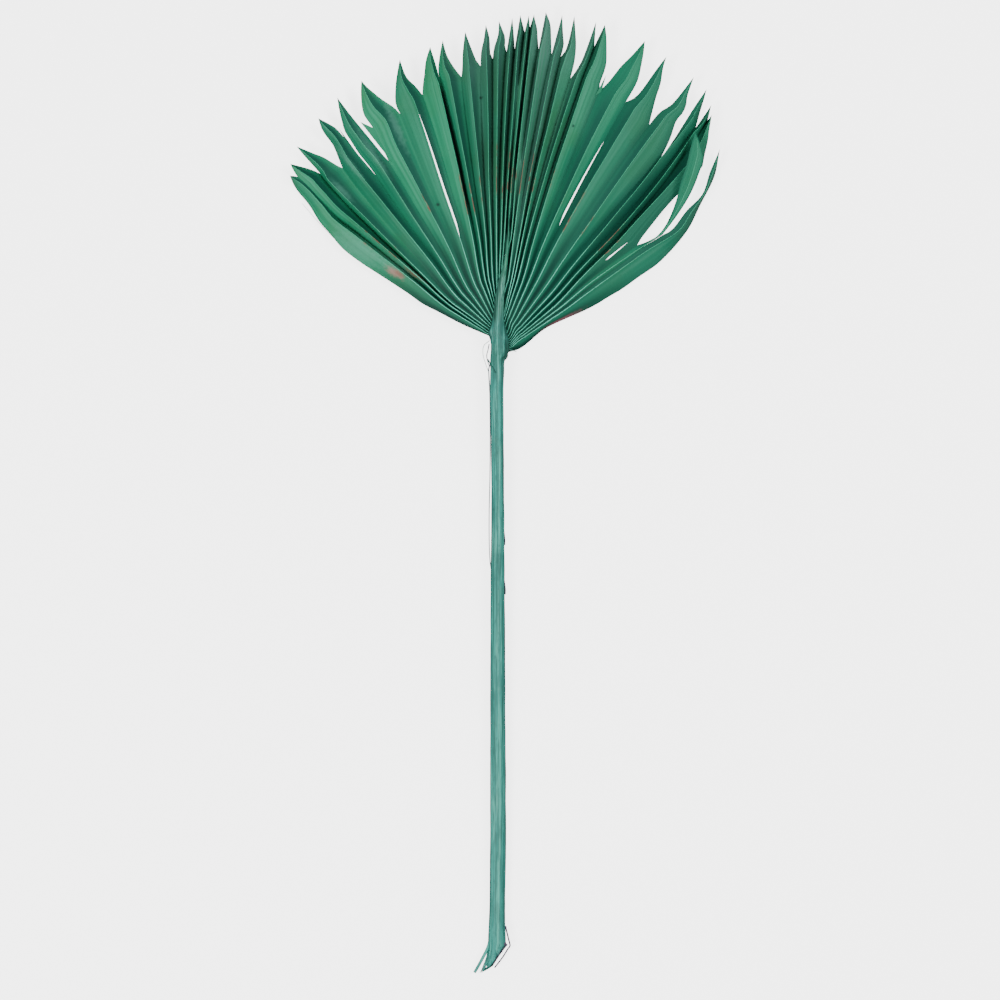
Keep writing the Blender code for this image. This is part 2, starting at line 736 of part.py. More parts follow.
def build():
    clear_scene()
    origin = bpy.data.objects.new("leaf_origin", None)
    bpy.context.scene.collection.objects.link(origin)
    stalk_finish = material("dried_stalk", (0.16, 0.40, 0.33), 0.55)
    blade_finish = material("dyed_blade", (0.05, 0.24, 0.16), 0.50)
    stalk = leaf_stalk(stalk_finish, origin)
    blade = fan_blade(blade_finish, origin)
    centre_on_origin(origin, (stalk, blade))


build()
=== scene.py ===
"""Looks of the dried fan palm leaf: its ridged stalk, its pleated blade with pale ribs, the torn
fibres at the cut end and round the hub, and the pale table that it lies on."""

import math
import random

import bmesh
import bpy
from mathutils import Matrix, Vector, noise


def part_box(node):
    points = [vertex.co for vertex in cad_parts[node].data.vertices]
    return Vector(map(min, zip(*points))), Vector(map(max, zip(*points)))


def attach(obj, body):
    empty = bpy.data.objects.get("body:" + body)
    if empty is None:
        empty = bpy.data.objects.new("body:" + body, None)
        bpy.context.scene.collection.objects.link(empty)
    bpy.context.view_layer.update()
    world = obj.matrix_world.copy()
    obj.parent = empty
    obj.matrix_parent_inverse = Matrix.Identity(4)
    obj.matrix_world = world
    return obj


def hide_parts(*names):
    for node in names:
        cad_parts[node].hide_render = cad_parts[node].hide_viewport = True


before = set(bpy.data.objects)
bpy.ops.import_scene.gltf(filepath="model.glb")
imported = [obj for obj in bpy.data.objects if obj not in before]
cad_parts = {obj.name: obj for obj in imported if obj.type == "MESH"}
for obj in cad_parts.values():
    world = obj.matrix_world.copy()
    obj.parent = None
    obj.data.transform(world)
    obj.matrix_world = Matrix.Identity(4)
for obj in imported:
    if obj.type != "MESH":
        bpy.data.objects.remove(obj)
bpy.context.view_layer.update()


# Leaf stalk: one round, light stem of pith under a hard ribbed skin, dyed a pale blue-green. It
# swells into the hub and runs on up the fan as a tapering spine, and its lower end was torn off
# slantwise. A grid is rolled up round a list of measured ovals, then fluted.

MM = 0.001

# The hub, where the ribs gather, is the zero of the measures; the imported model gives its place
HUB_FROM_CUT_END = 364.2 * MM
HUB_FROM_LEFT_TIP = 120.3 * MM
hub = Vector((
    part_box("fan_blade")[0].x + HUB_FROM_LEFT_TIP,
    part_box("leaf_stalk")[0].y + HUB_FROM_CUT_END,
    0.0,
))

# How far up the leaf, left edge, right edge, height of the middle, thickness, in millimetres
STALK = (
    (74.0, 5.75, 5.85, 17.6, 0.2),
    (66.0, 4.95, 5.35, 17.4, 0.8),
    (58.0, 4.3, 5.2, 17.0, 1.4),
    (54.0, 3.7, 4.95, 16.7, 2.0),
    (47.5, 3.0, 4.6, 16.1, 2.8),
    (38.9, 1.2, 3.9, 15.2, 3.6),
    (33.2, -0.7, 3.1, 14.6, 4.2),
    (27.5, -1.9, 2.6, 13.9, 4.8),
    (21.7, -2.9, 2.2, 13.2, 5.6),
    (15.4, -3.7, 2.1, 12.4, 6.6),
    (10.3, -4.6, 2.3, 11.8, 7.6),
    (6.3, -5.6, 2.7, 11.4, 8.2),
    (2.9, -6.8, 3.7, 11.1, 8.6),
    (-0.6, -5.8, 4.6, 10.8, 8.8),
    (-4.6, -5.4, 5.0, 10.5, 8.8),
    (-9.2, -5.4, 4.5, 10.3, 8.6),
    (-12.6, -5.5, 2.7, 10.1, 8.4),
    (-19.4, -5.5, 2.4, 9.8, 8.3),
    (-35.5, -5.5, 1.9, 9.4, 8.2),
    (-90.0, -4.9, 2.4, 8.3, 8.1),
    (-135.0, -5.2, 2.6, 7.4, 8.1),
    (-178.0, -5.5, 2.9, 6.6, 8.2),
    (-220.0, -5.6, 3.1, 5.9, 8.3),
    (-260.0, -5.7, 3.4, 5.2, 8.4),
    (-293.0, -5.6, 3.4, 4.6, 8.5),
    (-329.0, -6.1, 2.9, 4.2, 8.5),
    (-346.0, -6.7, 3.4, 4.2, 8.5),
)
STALK_SIDES = 60

# Steps between the rings: short round the hub, long down the shaft, short again at the torn end
HUB_STEP = 1.1
HUB_STEPS_END = -24.0
SHAFT_STEP = 4.0
SHAFT_STEPS_END = -322.0
END_STEP = 1.2

# Flutes round the stalk: how many, how deep in millimetres, and their phase
FLUTES = ((5, 0.10, 0.7), (9, 0.09, 2.1), (16, 0.07, 0.3), (23, 0.045, 4.0))
FLUTE_DEPTH = sum(depth for _, depth, _ in FLUTES)

# Unevenness of the skin: how high, and how long up the leaf; the knots stand higher at the hub
LUMP_HEIGHT = 0.22
LUMP_LENGTH = 17.0
KNOT_HEIGHT = 0.08
HUB_KNOT_HEIGHT = 0.42
KNOT_LENGTH = 5.0
KNOTTY_REACH = 18.0

# The torn end: share of the width from the right edge, and how far the skin runs on there
TEAR = (
    (0.0, 1.6), (0.33, 7.0), (0.6, 14.0), (0.74, 15.6), (0.775, 15.4), (0.81, 11.2), (0.845, 16.2),
    (0.92, 17.0), (1.0, 17.7),
)
TORN_EDGE = ((-11.1, -363.6), (-8.2, -362.0), (-4.6, -360.0), (-0.9, -353.6), (3.9, -347.4))
TEAR_RINGS = 10
TEAR_FROM = -346.0
TEAR_RAG = 0.7

# Past its straight first stretch the torn end swings to the left; heights of its right and left
TEAR_SWING = 4.4
TEAR_STRAIGHT = 3.0
TEAR_REACH = 14.6
TEAR_HEIGHTS = (3.6, 2.7)


def mix(a, b, share):
    return a + (b - a) * share


def ease(share):
    share = min(1.0, max(0.0, share))
    return share * share * (3.0 - 2.0 * share)


def rise(value, start, end):
    """Eased from 0 to 1 as a value passes from start to end."""
    return ease((value - start) / (end - start))


def follow(points, at):
    """Height of a smooth curve through (x, y) points, level beyond its ends."""
    if at <= points[0][0]:
        return points[0][1]
    if at >= points[-1][0]:
        return points[-1][1]
    last = len(points) - 1
    start = max(index for index in range(last) if points[index][0] <= at)

    def slope(index):
        before = points[max(index - 1, 0)]
        after = points[min(index + 1, last)]
        return (after[1] - before[1]) / (after[0] - before[0])

    (x0, y0), (x1, y1) = points[start], points[start + 1]
    span = x1 - x0
    t = (at - x0) / span
    return (
        y0 * (1 + 2 * t) * (1 - t) ** 2
        + y1 * t * t * (3 - 2 * t)
        + slope(start) * span * t * (1 - t) ** 2
        - slope(start + 1) * span * t * t * (1 - t)
    )


def stalk_value(along, column):
    """A measure of the stalk this many millimetres up the leaf."""
    points = [(-row[0], row[column]) for row in STALK]
    return follow(points, -along)


def stalk_stops():
    """Where the rings of the stalk lie, from the tip of the spine to the tear."""
    stops = [STALK[0][0]]
    while stops[-1] > TEAR_FROM:
        step = SHAFT_STEP
        if stops[-1] > HUB_STEPS_END:
            step = HUB_STEP
        if stops[-1] < SHAFT_STEPS_END:
            step = END_STEP
        stops.append(stops[-1] - step)
    stops[-1] = TEAR_FROM
    return stops


def stalk_point(along, turn):
    """A point of the fluted skin: turn 0 is underneath, a quarter turn is the right side."""
    left = stalk_value(along, 1)
    right = stalk_value(along, 2)
    half_thick = stalk_value(along, 4) / 2
    flute = 0.0
    for count, depth, phase in FLUTES:
        drift = phase + 0.6 * math.sin(along / 37.0 + count)
        flute += depth * math.sin(count * turn + drift)
    size = min(1.0, half_thick / 3.0)
    lumps = noise.noise(Vector((math.cos(turn) * 1.3, math.sin(turn) * 1.3, along / LUMP_LENGTH)))
    knots = noise.noise(Vector((math.cos(turn) * 2.6, math.sin(turn) * 2.6, along / KNOT_LENGTH)))
    hub_share = rise(abs(along), KNOTTY_REACH, 0.0)
    knot_height = KNOT_HEIGHT + HUB_KNOT_HEIGHT * hub_share
    proud = size * (flute + LUMP_HEIGHT * lumps + knot_height * knots)
    across = (left + right) / 2 + ((right - left) / 2 + proud) * math.sin(turn)
    height = stalk_value(along, 3) - (half_thick + proud) * math.cos(turn)
    groove = flute / FLUTE_DEPTH + 0.5 * knots
    return Vector((across, along, max(height, 0.05))), groove


def torn_point(turn, passed):
    """A point of the torn end, from the last whole ring (0) to the ragged edge (1)."""
    start, groove = stalk_point(TEAR_FROM, turn)
    left = STALK[-1][1]
    right = STALK[-1][2]
    share = min(1.0, max(0.0, (right - start.x) / (right - left)))
    rag = TEAR_RAG * noise.noise(Vector((math.sin(turn) * 9.0, math.cos(turn) * 9.0, 3.0)))
    reach = (follow(TEAR, share) + rag) * passed
    swing = TEAR_SWING * (max(0.0, reach - TEAR_STRAIGHT) / TEAR_REACH) ** 1.5
    sink = passed ** 1.4 * mix(0.25, 0.75, share)
    height = mix(start.z, mix(*TEAR_HEIGHTS, share), sink)
    return Vector((start.x - swing, start.y - reach, height)), groove


def rolled(rings, builder, layer):
    """Lay a grid, roll it up through rings of (place, value) points and weld its seam."""
    steps = len(rings) - 1
    sides = len(rings[0])
    grid = bmesh.ops.create_grid(builder, x_segments=steps, y_segments=sides, size=0.5)
    for vert in grid["verts"]:
        step = round((vert.co.x + 0.5) * steps)
        side = round((vert.co.y + 0.5) * sides) % sides
        place, value = rings[step][side]
        vert.co = place * MM
        vert[layer] = value
    bmesh.ops.remove_doubles(builder, verts=grid["verts"], dist=0.000001)


def close_ends(builder):
    bmesh.ops.holes_fill(builder, edges=[e for e in builder.edges if e.is_boundary], sides=0)
    bmesh.ops.recalc_face_normals(builder, faces=builder.faces)


def made_object(name, builder, finish):
    """Turn the mesh under way into an object of the scene."""
    mesh = bpy.data.meshes.new(name)
    builder.to_mesh(mesh)
    builder.free()
    mesh.materials.append(finish)
    piece = bpy.data.objects.new(name, mesh)
    bpy.context.scene.collection.objects.link(piece)
    return piece


def finished(name, builder, finish):
    """Move a mesh from the hub's measures to its place and make it a smooth-shaded piece."""
    bmesh.ops.translate(builder, verts=builder.verts, vec=hub)
    for face in builder.faces:
        face.smooth = True
    piece = made_object(name, builder, finish)
    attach(piece, "root")
    return piece


def dye(red, green, blue):
    """A colour as a screen shows it, 0 to 255, turned to light."""
    channels = []
    for value in (red, green, blue):
        share = value / 255
        channels.append(share / 12.92 if share <= 0.04045 else ((share + 0.055) / 1.055) ** 2.4)
    return (*channels, 1.0)


def new_finish(name):
    made = bpy.data.materials.new(name)
    made.use_nodes = True
    return made.node_tree, made.node_tree.nodes["Principled BSDF"], made


def add(tree, kind, inputs=None, **settings):
    """A node with its settings, its inputs set or linked."""
    made = tree.nodes.new(kind)
    for name, value in settings.items():
        setattr(made, name, value)
    for socket, value in (inputs or {}).items():
        if isinstance(value, bpy.types.NodeSocket):
            tree.links.new(value, made.inputs[socket])
        else:
            made.inputs[socket].default_value = value
    return made


def sums(tree, operation, first, second=0.0, third=0.0):
    inputs = {0: first, 1: second, 2: third}
    if operation in ("FLOOR", "ABSOLUTE"):
        inputs = {0: first}
    elif operation != "MULTIPLY_ADD":
        inputs = {0: first, 1: second}
    return add(tree, "ShaderNodeMath", inputs, operation=operation).outputs[0]


def between(tree, value, low, high, first=0.0, last=1.0):
    """A value eased from first to last as it passes from low to high."""
    made = add(
        tree, "ShaderNodeMapRange",
        {"Value": value, "From Min": low, "From Max": high, "To Min": first, "To Max": last},
        interpolation_type="SMOOTHSTEP",
    )
    return made.outputs["Result"]


def tint(tree, share, first, second):
    made = add(tree, "ShaderNodeMix", data_type="RGBA")
    for socket, value in (("Factor", share), ("A", first), ("B", second)):
        wanted = "VALUE" if socket == "Factor" else "RGBA"
        target = [s for s in made.inputs if s.name == socket and s.type == wanted][0]
        if isinstance(value, bpy.types.NodeSocket):
            tree.links.new(value, target)
        else:
            target.default_value = value
    return [s for s in made.outputs if s.type == "RGBA"][0]


def shared(tree, shares):
    """The product of shares: plain values, and (value, low, high, first, last) to ease between."""
    total = None
    for share in shares:
        value = between(tree, *share) if isinstance(share, tuple) else share
        total = value if total is None else sums(tree, "MULTIPLY", total, value)
    return total


def washed(tree, colour, washes):
    """Lay washes over a colour, each a dye and the shares that say where and how strongly."""
    for dyed, *shares in washes:
        colour = tint(tree, shared(tree, shares), colour, dyed)
    return colour


def grain(tree, vector, scale, detail=3.0, roughness=0.55):
    made = add(
        tree, "ShaderNodeTexNoise",
        {"Vector": vector, "Scale": scale, "Detail": detail, "Roughness": roughness},
    )
    return made.outputs["Fac"]


def stretched(tree, vector, scale):
    made = add(tree, "ShaderNodeMapping", {"Vector": vector, "Scale": scale})
    return made.outputs["Vector"]


def long_grain(tree, vector, scale, detail, roughness=0.55):
    """Noise drawn out by its own scale along each axis."""
    return grain(tree, stretched(tree, vector, scale), 1.0, detail, roughness)


def attribute(tree, name):
    return add(tree, "ShaderNodeAttribute", attribute_name=name).outputs["Fac"]


def surface(tree, shader, colour, roughness, shine, height, strength, depth):
    """Set a finish's colour, roughness and shine, and the height of its fine relief."""
    tree.links.new(colour, shader.inputs["Base Color"])
    if isinstance(roughness, bpy.types.NodeSocket):
        tree.links.new(roughness, shader.inputs["Roughness"])
    else:
        shader.inputs["Roughness"].default_value = roughness
    shader.inputs["Specular IOR Level"].default_value = shine
    bump = add(tree, "ShaderNodeBump", {"Height": height, "Strength": strength, "Distance": depth})
    tree.links.new(bump.outputs["Normal"], shader.inputs["Normal"])


STALK_PALE = dye(92, 196, 176)
STALK_LIGHT = dye(54, 166, 150)
STALK_MID = dye(48, 140, 128)
STALK_DEEP = dye(46, 100, 92)
HUB_GREEN = dye(44, 114, 98)
HUB_DARK = dye(14, 66, 54)
# dark plum-grey of the torn end, also painted as a shadow line down the stalk's right edge
TORN_AND_SHADOW_DARK = dye(38, 52, 62)
STRAW = dye(122, 150, 118)
SPINE_GREY = dye(104, 172, 148)
SPINE_GREEN = dye(58, 150, 116)
STALK_MARKS = ("hub", "torn", "across", "shade", "spine")
SPINE_START = 6.0
SPINE_LENGTH = 48.0


def stalk_finish():
    """Pale dye over a ribbed skin, streaked lengthways, darker in the flutes and at the hub, with a painted
    highlight along its top and painted shade down its sides.
    """
    tree, shader, made = new_finish("dyed_stalk")
    place = add(tree, "ShaderNodeTexCoord").outputs["Object"]
    streak = long_grain(tree, place, (1500, 16, 1500), 4.0, 0.6)
    broad = long_grain(tree, place, (420, 7, 420), 2.0)
    dark_streak = long_grain(tree, place, (950, 12, 950), 2.0)
    pale_streak = long_grain(tree, place, (820, 24, 820), 2.0)
    thread = long_grain(tree, place, (1900, 14, 1900), 2.0)
    fleck = long_grain(tree, place, (900, 260, 900), 2.0)
    stain = long_grain(tree, place, (340, 60, 340), 3.0)
    blotch = grain(tree, place, 60.0, 3.0)
    fuzz = grain(tree, place, 1500.0, 2.0)
    groove, across, swell, shade, torn, spine_reach = [
        attribute(tree, name) for name in ("groove", "across", "hub", "shade", "torn", "spine")
    ]
    drift = sums(tree, "MULTIPLY_ADD", long_grain(tree, place, (0, 14, 0), 1.0), 0.5, -0.17)
    off_ridge = sums(tree, "ABSOLUTE", sums(tree, "SUBTRACT", across, drift))
    spine = between(tree, spine_reach, 0.0, 0.25)
    bare = tint(tree, between(tree, streak, 0.32, 0.68), STALK_MID, STALK_LIGHT)
    bare = washed(tree, bare, (
        (STALK_MID, (broad, 0.42, 0.62, 0.0, 0.55)),
        (STALK_DEEP, (groove, 0.1, -0.7, 0.0, 0.75)),
        (STRAW, (blotch, 0.60, 0.74, 0.0, 0.12)),
        # painted highlight: a pale strip along the top of the stalk
        (STALK_PALE, (off_ridge, 0.17, 0.03), (streak, 0.40, 0.60, 0.15, 0.6), (swell, 0.2, 0.8, 1.0, 0.4)),
        # painted shade: the stalk darker down its right side and at its left edge, with a painted shadow
        # line at the right edge
        (STALK_DEEP, (across, 0.5, 1.0, 0.0, 0.4)),
        (STALK_DEEP, (across, -0.8, -1.0, 0.0, 0.3)),
        (TORN_AND_SHADOW_DARK, (across, 0.90, 0.98, 0.0, 0.7)),
        (HUB_GREEN, swell, (blotch, 0.3, 0.7, 0.35, 0.9)),
        (HUB_DARK, swell, (fuzz, 0.52, 0.70, 0.0, 0.6)),
        (STALK_DEEP, (fleck, 0.57, 0.70, 0.0, 0.5)),
        (STALK_DEEP, (dark_streak, 0.48, 0.60, 0.0, 0.75)),
        (STALK_PALE, (pale_streak, 0.52, 0.64, 0.0, 0.6)),
        (STALK_DEEP, (stain, 0.50, 0.66, 0.0, 0.42)),
        (SPINE_GREY, spine, (streak, 0.4, 0.6, 0.3, 0.75)),
        (SPINE_GREEN, (spine_reach, 0.45, 0.8, 0.0, 0.8)),
        (HUB_DARK, spine, (thread, 0.50, 0.60, 0.0, 0.7)),
        (HUB_DARK, shade, (streak, 0.38, 0.62, 1.0, 0.7)),
        (TORN_AND_SHADOW_DARK, torn, (streak, 0.3, 0.6, 0.5, 1.0)),
    ))
    roughness = between(tree, streak, 0.3, 0.7, 0.62, 0.46)
    surface(tree, shader, bare, roughness, 0.25, streak, 0.5, 0.00025)
    return made


def stalk_shade(along, across):
    """Dark left flank of the spine, a painted shade, and the dark torn lobe at the hub's right."""
    flank = rise(along, 6.0, 12.0) * rise(across, 0.0, -0.4) * mix(1.0, 0.5, rise(along, 30.0, 40.0))
    lobe = rise(across, 0.25, 0.65) * rise(along, -16.0, -11.0) * rise(along, 1.0, -4.0)
    corner = rise(across, 0.55, 0.85) * rise(along, -1.0, 3.0) * rise(along, 24.0, 14.0)
    shoulder = rise(across, -0.55, -0.95) * rise(along, -3.0, 1.0)
    return max(0.95 * flank, 0.75 * lobe, 0.6 * corner, 0.7 * shoulder)


def make_stalk():
    builder = bmesh.new()
    groove_layer = builder.verts.layers.float.new("groove")
    turns = [side / STALK_SIDES * math.tau for side in range(STALK_SIDES)]
    rings = [[stalk_point(along, turn) for turn in turns] for along in stalk_stops()]
    for ring in range(1, TEAR_RINGS + 1):
        rings.append([torn_point(turn, ring / TEAR_RINGS) for turn in turns])
    rim = rings[-1]
    middle = sum((place for place, _ in rim), Vector()) / len(rim)
    for inward, back in ((0.3, 1.2), (0.65, 0.4), (0.999, 1.0)):
        rings.append([(place.lerp(middle, inward) + Vector((0.1, back, 0)), -1.0) for place, _ in rim])
    rolled(rings, builder, groove_layer)
    marks = {name: builder.verts.layers.float.new(name) for name in STALK_MARKS}
    for vert in builder.verts:
        along = vert.co.y / MM
        vert[marks["spine"]] = (along - SPINE_START) / SPINE_LENGTH
        left = stalk_value(along, 1)
        right = stalk_value(along, 2)
        across = (2 * vert.co.x / MM - left - right) / (right - left)
        vert[marks["across"]] = across
        vert[marks["hub"]] = rise(along, -26.0, -12.0) * rise(along, 18.0, 2.0)
        edge = follow(TORN_EDGE, vert.co.x / MM)
        vert[marks["torn"]] = rise(along, edge + 2.2, edge + 0.6)
        vert[marks["shade"]] = stalk_shade(along, across)
    close_ends(builder)
    return finished("dyed_leaf_stalk", builder, stalk_finish())


stalk = make_stalk()
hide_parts("leaf_stalk")


# Pleated blade: one thin dry sheet of 29 leaflets, folded up at every rib and down at every
# valley and dyed a deep green. Each half pleat is a grid laid between a rib and the valley or
# free edge beside it; the halves are welded and the sheet gets its thickness below.

SHEET_THICKNESS = 0.32 * MM
STEEPEST_SHEET = 5.2
REST_HEIGHT = 0.34 * MM
HALF_PLEAT_PER_REACH = 0.078
DEEPEST_PLEAT = 8.5 * MM
LEAST_SLOPE = 0.35
SIDE_HEIGHT = 4.6 * MM
CROWN_HEIGHT = 10.0 * MM
CROWN_REACH = 215.0 * MM
CROWN_BEARING = 5.0
CROWN_SPREAD = 64.0
ROOT_SINK = 0.9 * MM
ROOT_SHARE = 0.3
STEPS = 64
BUNCHING = 1.15
SPINE_LEAFLET = 14
STRAY_LEAFLET = 27
STRAY_LIFT = 6.0 * MM
STRAY_FLATNESS = 0.15
RIB_LEAN = 0.6 * MM
RIB_LEAN_REACH = 160 * MM
RIPPLE_HEIGHT = 0.45 * MM
SPINE_END = 58.0
VALLEY_LEAN = 0.05
CREASE_ANGLE = math.radians(26)

# The reach that counts as one in the pattern along the pleats
PLEAT_LENGTH = 190 * MM

# Shares across half a pleat, from the rib to the valley, on its wide and on its narrow side
WIDE_ROWS = (0.0, 0.05, 0.12, 0.22, 0.34, 0.47, 0.60, 0.73, 0.85, 0.94, 1.0)
NARROW_ROWS = (0.0, 0.07, 0.2, 0.38, 0.58, 0.79, 1.0)

# Where each rib's bearing was measured, how far past its foot a rib first turns, and the points
# of the straight stretch in between
RIB_REACHES = (34, 57, 92, 126)
FIRST_TURN = 4
STRAIGHT_SHARES = (0.2, 0.4, 0.6, 0.8)

# One row for each leaflet, from left to right; bearings in degrees from straight up the leaf,
# reaches and heights up the leaf in millimetres from the hub:
# foot of the rib, its four bearings, (bearing, reach) of the notch to the right, then points
# (reach, bearing) of the left free edge, the tip, and of the right free edge
LEAFLETS = (
    (1.8, (-60.9, -57.0, -55.0, -54.2), (-53.9, 114),
     (), (152, -52.3), ((123, -52.6), (130, -51.9), (143, -50.9), (149, -51.6))),
    (3.1, (-56.8, -53.3, -51.7, -51.1), (-47.5, 140),
     ((123, -53.5), (135, -52.7), (146, -51.7), (152, -51.0)), (156, -50.3),
     ((144, -48.0), (150, -49.1))),
    (4.5, (-53.7, -50.6, -48.6, -47.6), (-42.8, 133),
     ((144, -47.3), (154, -47.0)), (160, -46.7), ((136, -43.3), (145, -44.3), (150, -45.2))),
    (5.7, (-46.4, -42.6, -41.1, -40.5), (-37.3, 117),
     ((138, -42.0), (146, -40.9), (153, -40.7), (157, -40.5)), (163, -39.6),
     ((133, -37.7), (148, -37.9), (152, -38.0), (156, -38.5))),
    (6.9, (-40.2, -37.0, -35.5, -34.6), (-32.2, 120),
     ((124, -37.3), (133, -37.4), (142, -37.1), (148, -36.9), (153, -36.2), (159, -35.3)), (166, -34.1),
     ((123, -32.5), (137, -33.2), (152, -33.8))),
    (8.0, (-33.2, -29.8, -28.7, -28.4), (-24.0, 140),
     ((138, -31.2), (149, -31.4), (153, -31.0), (159, -30.0), (164, -29.0)), (167, -28.3),
     ((145, -24.7), (152, -26.3), (158, -27.3), (163, -28.0))),
    (10.0, (-25.2, -22.3, -21.0, -20.1), (-17.7, 146),
     ((146, -24.1), (156, -22.5), (161, -21.5)), (169, -19.8), ((152, -18.6), (158, -19.7))),
    (12.9, (-19.0, -15.6, -14.1, -13.7), (-13.1, 148),
     ((151, -17.0), (157, -16.0), (164, -15.0)), (171, -13.5), ((160, -13.2),)),
    (15.2, (-14.3, -11.8, -11.3, -11.1), (-8.4, 151),
     ((156, -13.1), (160, -12.7), (167, -11.8)), (173, -10.9), ((156, -9.5), (164, -10.6))),
    (17.6, (-10.8, -8.2, -7.2, -6.8), (-4.1, 156),
     ((157, -7.9), (164, -7.5)), (176, -6.5), ((158, -4.7), (166, -5.6))),
    (20.2, (-7.0, -5.1, -4.0, -3.1), (-1.5, 160),
     ((164, -3.8), (170, -3.2)), (179, -2.6), ((162, -1.9), (172, -2.0))),
    (23.4, (-2.9, -2.0, -1.2, -0.7), (1.3, 164),
     ((166, -1.2), (173, -0.4)), (181, -0.2), ((166, 1.0), (172, 1.0), (176, 0.5))),
    (28.6, (-0.7, 0.6, 1.0, 1.4), (2.9, 166), (), (183, 2.2), ((172, 2.7),)),
    (35.0, (1.3, 2.5, 2.9, 3.3), (4.6, 176), (), (185, 3.6), ()),
    (61.5, (4.6, 4.6, 4.3, 4.7), (5.5, 179), (), (185, 5.1), ()),
    (50.0, (6.3, 6.4, 5.7, 5.8), (7.6, 167),
     (), (186, 6.0), ((173, 7.2), (179, 6.8), (182, 6.4))),
    (22.3, (8.1, 7.8, 7.7, 7.9), (10.3, 165), (), (188, 8.0), ((174, 9.7), (182, 9.1))),
    (10.3, (11.3, 10.9, 10.5, 10.7), (12.2, 165), (), (188, 10.9), ((172, 12.3), (177, 11.8))),
    (8.9, (13.6, 12.8, 12.5, 12.8), (15.2, 154),
     ((170, 12.9),), (189, 13.0), ((164, 15.1), (173, 14.6), (181, 13.8))),
    (6.9, (17.0, 15.7, 15.6, 16.0), (17.9, 176), ((160, 16.0), (167, 16.5)), (189, 16.9), ()),
    (4.6, (21.8, 19.3, 18.3, 18.3), (21.9, 152),
     (), (189, 18.5), ((155, 21.5), (167, 21.3), (176, 20.3), (184, 19.3))),
    (2.0, (27.2, 24.9, 24.6, 24.8), (28.1, 153),
     ((159, 23.0), (170, 24.0), (178, 25.0)), (189, 26.0), ((166, 28.2), (177, 27.3), (184, 26.6))),
    (0.3, (34.0, 31.2, 30.3, 30.4), (35.0, 149),
     ((156, 29.0), (162, 29.7), (177, 30.2)), (187, 30.6),
     ((152, 34.5), (164, 33.0), (172, 32.3), (180, 31.2))),
    (-1.1, (42.6, 39.2, 37.6, 36.9), (41.8, 138),
     ((157, 35.2), (161, 35.6), (165, 36.3)), (186, 36.6),
     ((150, 40.5), (160, 39.1), (166, 39.1), (171, 38.6), (175, 37.8))),
    (-2.2, (50.0, 45.5, 43.4, 42.3), (42.9, 165),
     ((149, 41.3), (172, 40.1)), (185, 39.7), ((173, 41.5), (180, 40.5))),
    (-3.3, (55.2, 50.0, 47.6, 45.6), (43.6, 173), (), (180, 42.2), ()),
    (-4.4, (60.5, 53.7, 50.3, 47.4), (55.9, 95),
     (), (176, 43.5),
     ((98, 55.0), (107, 53.5), (116, 52.3), (123, 51.6), (141, 50.5), (152, 49.7), (156, 48.5),
      (162, 47.0), (166, 46.0), (168, 45.4))),
    (-5.3, (64.5, 59.0, 57.3, 56.5), (57.6, 110),
     ((100, 56.7), (107, 57.1), (111, 56.8), (119, 54.6), (128, 51.9), (135, 49.6), (145, 47.2),
      (154, 45.0)), (162, 43.5),
     ((116, 56.6), (123, 55.4), (132, 53.8), (139, 52.4), (148, 50.3), (154, 48.8), (158, 46.4))),
    (-6.2, (68.5, 62.7, 59.5, 58.4), None,
     ((116, 57.8), (129, 55.7), (142, 54.6), (153, 51.7)), (166, 49.3), ()),
)

# The fan's two outer edges: height of the foot up the leaf, then (reach, bearing) points
OUTER_LEFT = (
    0.8, (23, -70.0), (38, -67.0), (49, -66.0), (57, -64.3), (69, -62.9), (80, -62.1),
    (92, -61.4), (104, -60.3), (114, -58.5), (123, -57.2), (134, -55.0), (144, -53.9),
    (149, -53.1), (152, -52.3),
)
OUTER_RIGHT = (
    -7.9, (13, 117.0), (26, 78.5), (40, 73.4), (50, 72.0), (59, 70.6), (67, 69.1), (75, 68.1),
    (86, 66.3), (102, 64.4), (124, 60.1), (138, 56.4), (155, 52.8), (166, 49.3),
)

# Slits that show the light: leaflet, reach from and to, widest opening in degrees, and where it
# stands across the right half of the pleat, from 0 at the rib to 1 at the valley
SLITS = {
    6: (58, 141, 1.05, 0.0),
    21: (72, 128, 0.75, 1.0),
    26: (74, 94, 0.6, 0.5),
}

# Torn flaps beside the notches: leaflet, then (reach, bearing) of the root's low end, the tip and
# the root's high end, and how far the tip lifts in millimetres
SLIVERS = (
    (5, (118, -31.6), (147, -32.9), (138.5, -30.6), 0.8),
    (3, (121, -37.9), (152, -37.5), (134, -38.6), 0.5),
    (20, (149, 21.5), (162, 22.0), (152, 22.4), 0.6),
)
FLAP_STEPS = 10
FLAP_STAND_OFF = 0.15 * MM
FLAP_CUP = 0.3 * MM


def plan(bearing, reach):
    """The point of the plan at a bearing in degrees and a reach from the hub."""
    angle = math.radians(bearing)
    return Vector((reach * math.sin(angle), reach * math.cos(angle)))


def polar(point):
    return math.degrees(math.atan2(point.x, point.y)), point.length


def foot(along, side):
    """Where a rib or valley starts, beside the stalk or spine."""
    at = min(along, SPINE_END)
    left = stalk_value(at, 1) * MM
    right = stalk_value(at, 2) * MM
    sink = min(ROOT_SINK, ROOT_SHARE * (right - left))
    edge = left if side < 0 else right
    return Vector((edge - side * sink, along * MM))


def side_of(number):
    return -1 if number < SPINE_LEAFLET else 1


def rib_foot(number):
    along = LEAFLETS[number][0]
    if number == SPINE_LEAFLET:
        middle = (stalk_value(SPINE_END, 1) + stalk_value(SPINE_END, 2)) / 2
        return Vector((middle * MM, along * MM))
    return foot(along, side_of(number))


def tip_of(number):
    return LEAFLETS[number][4]


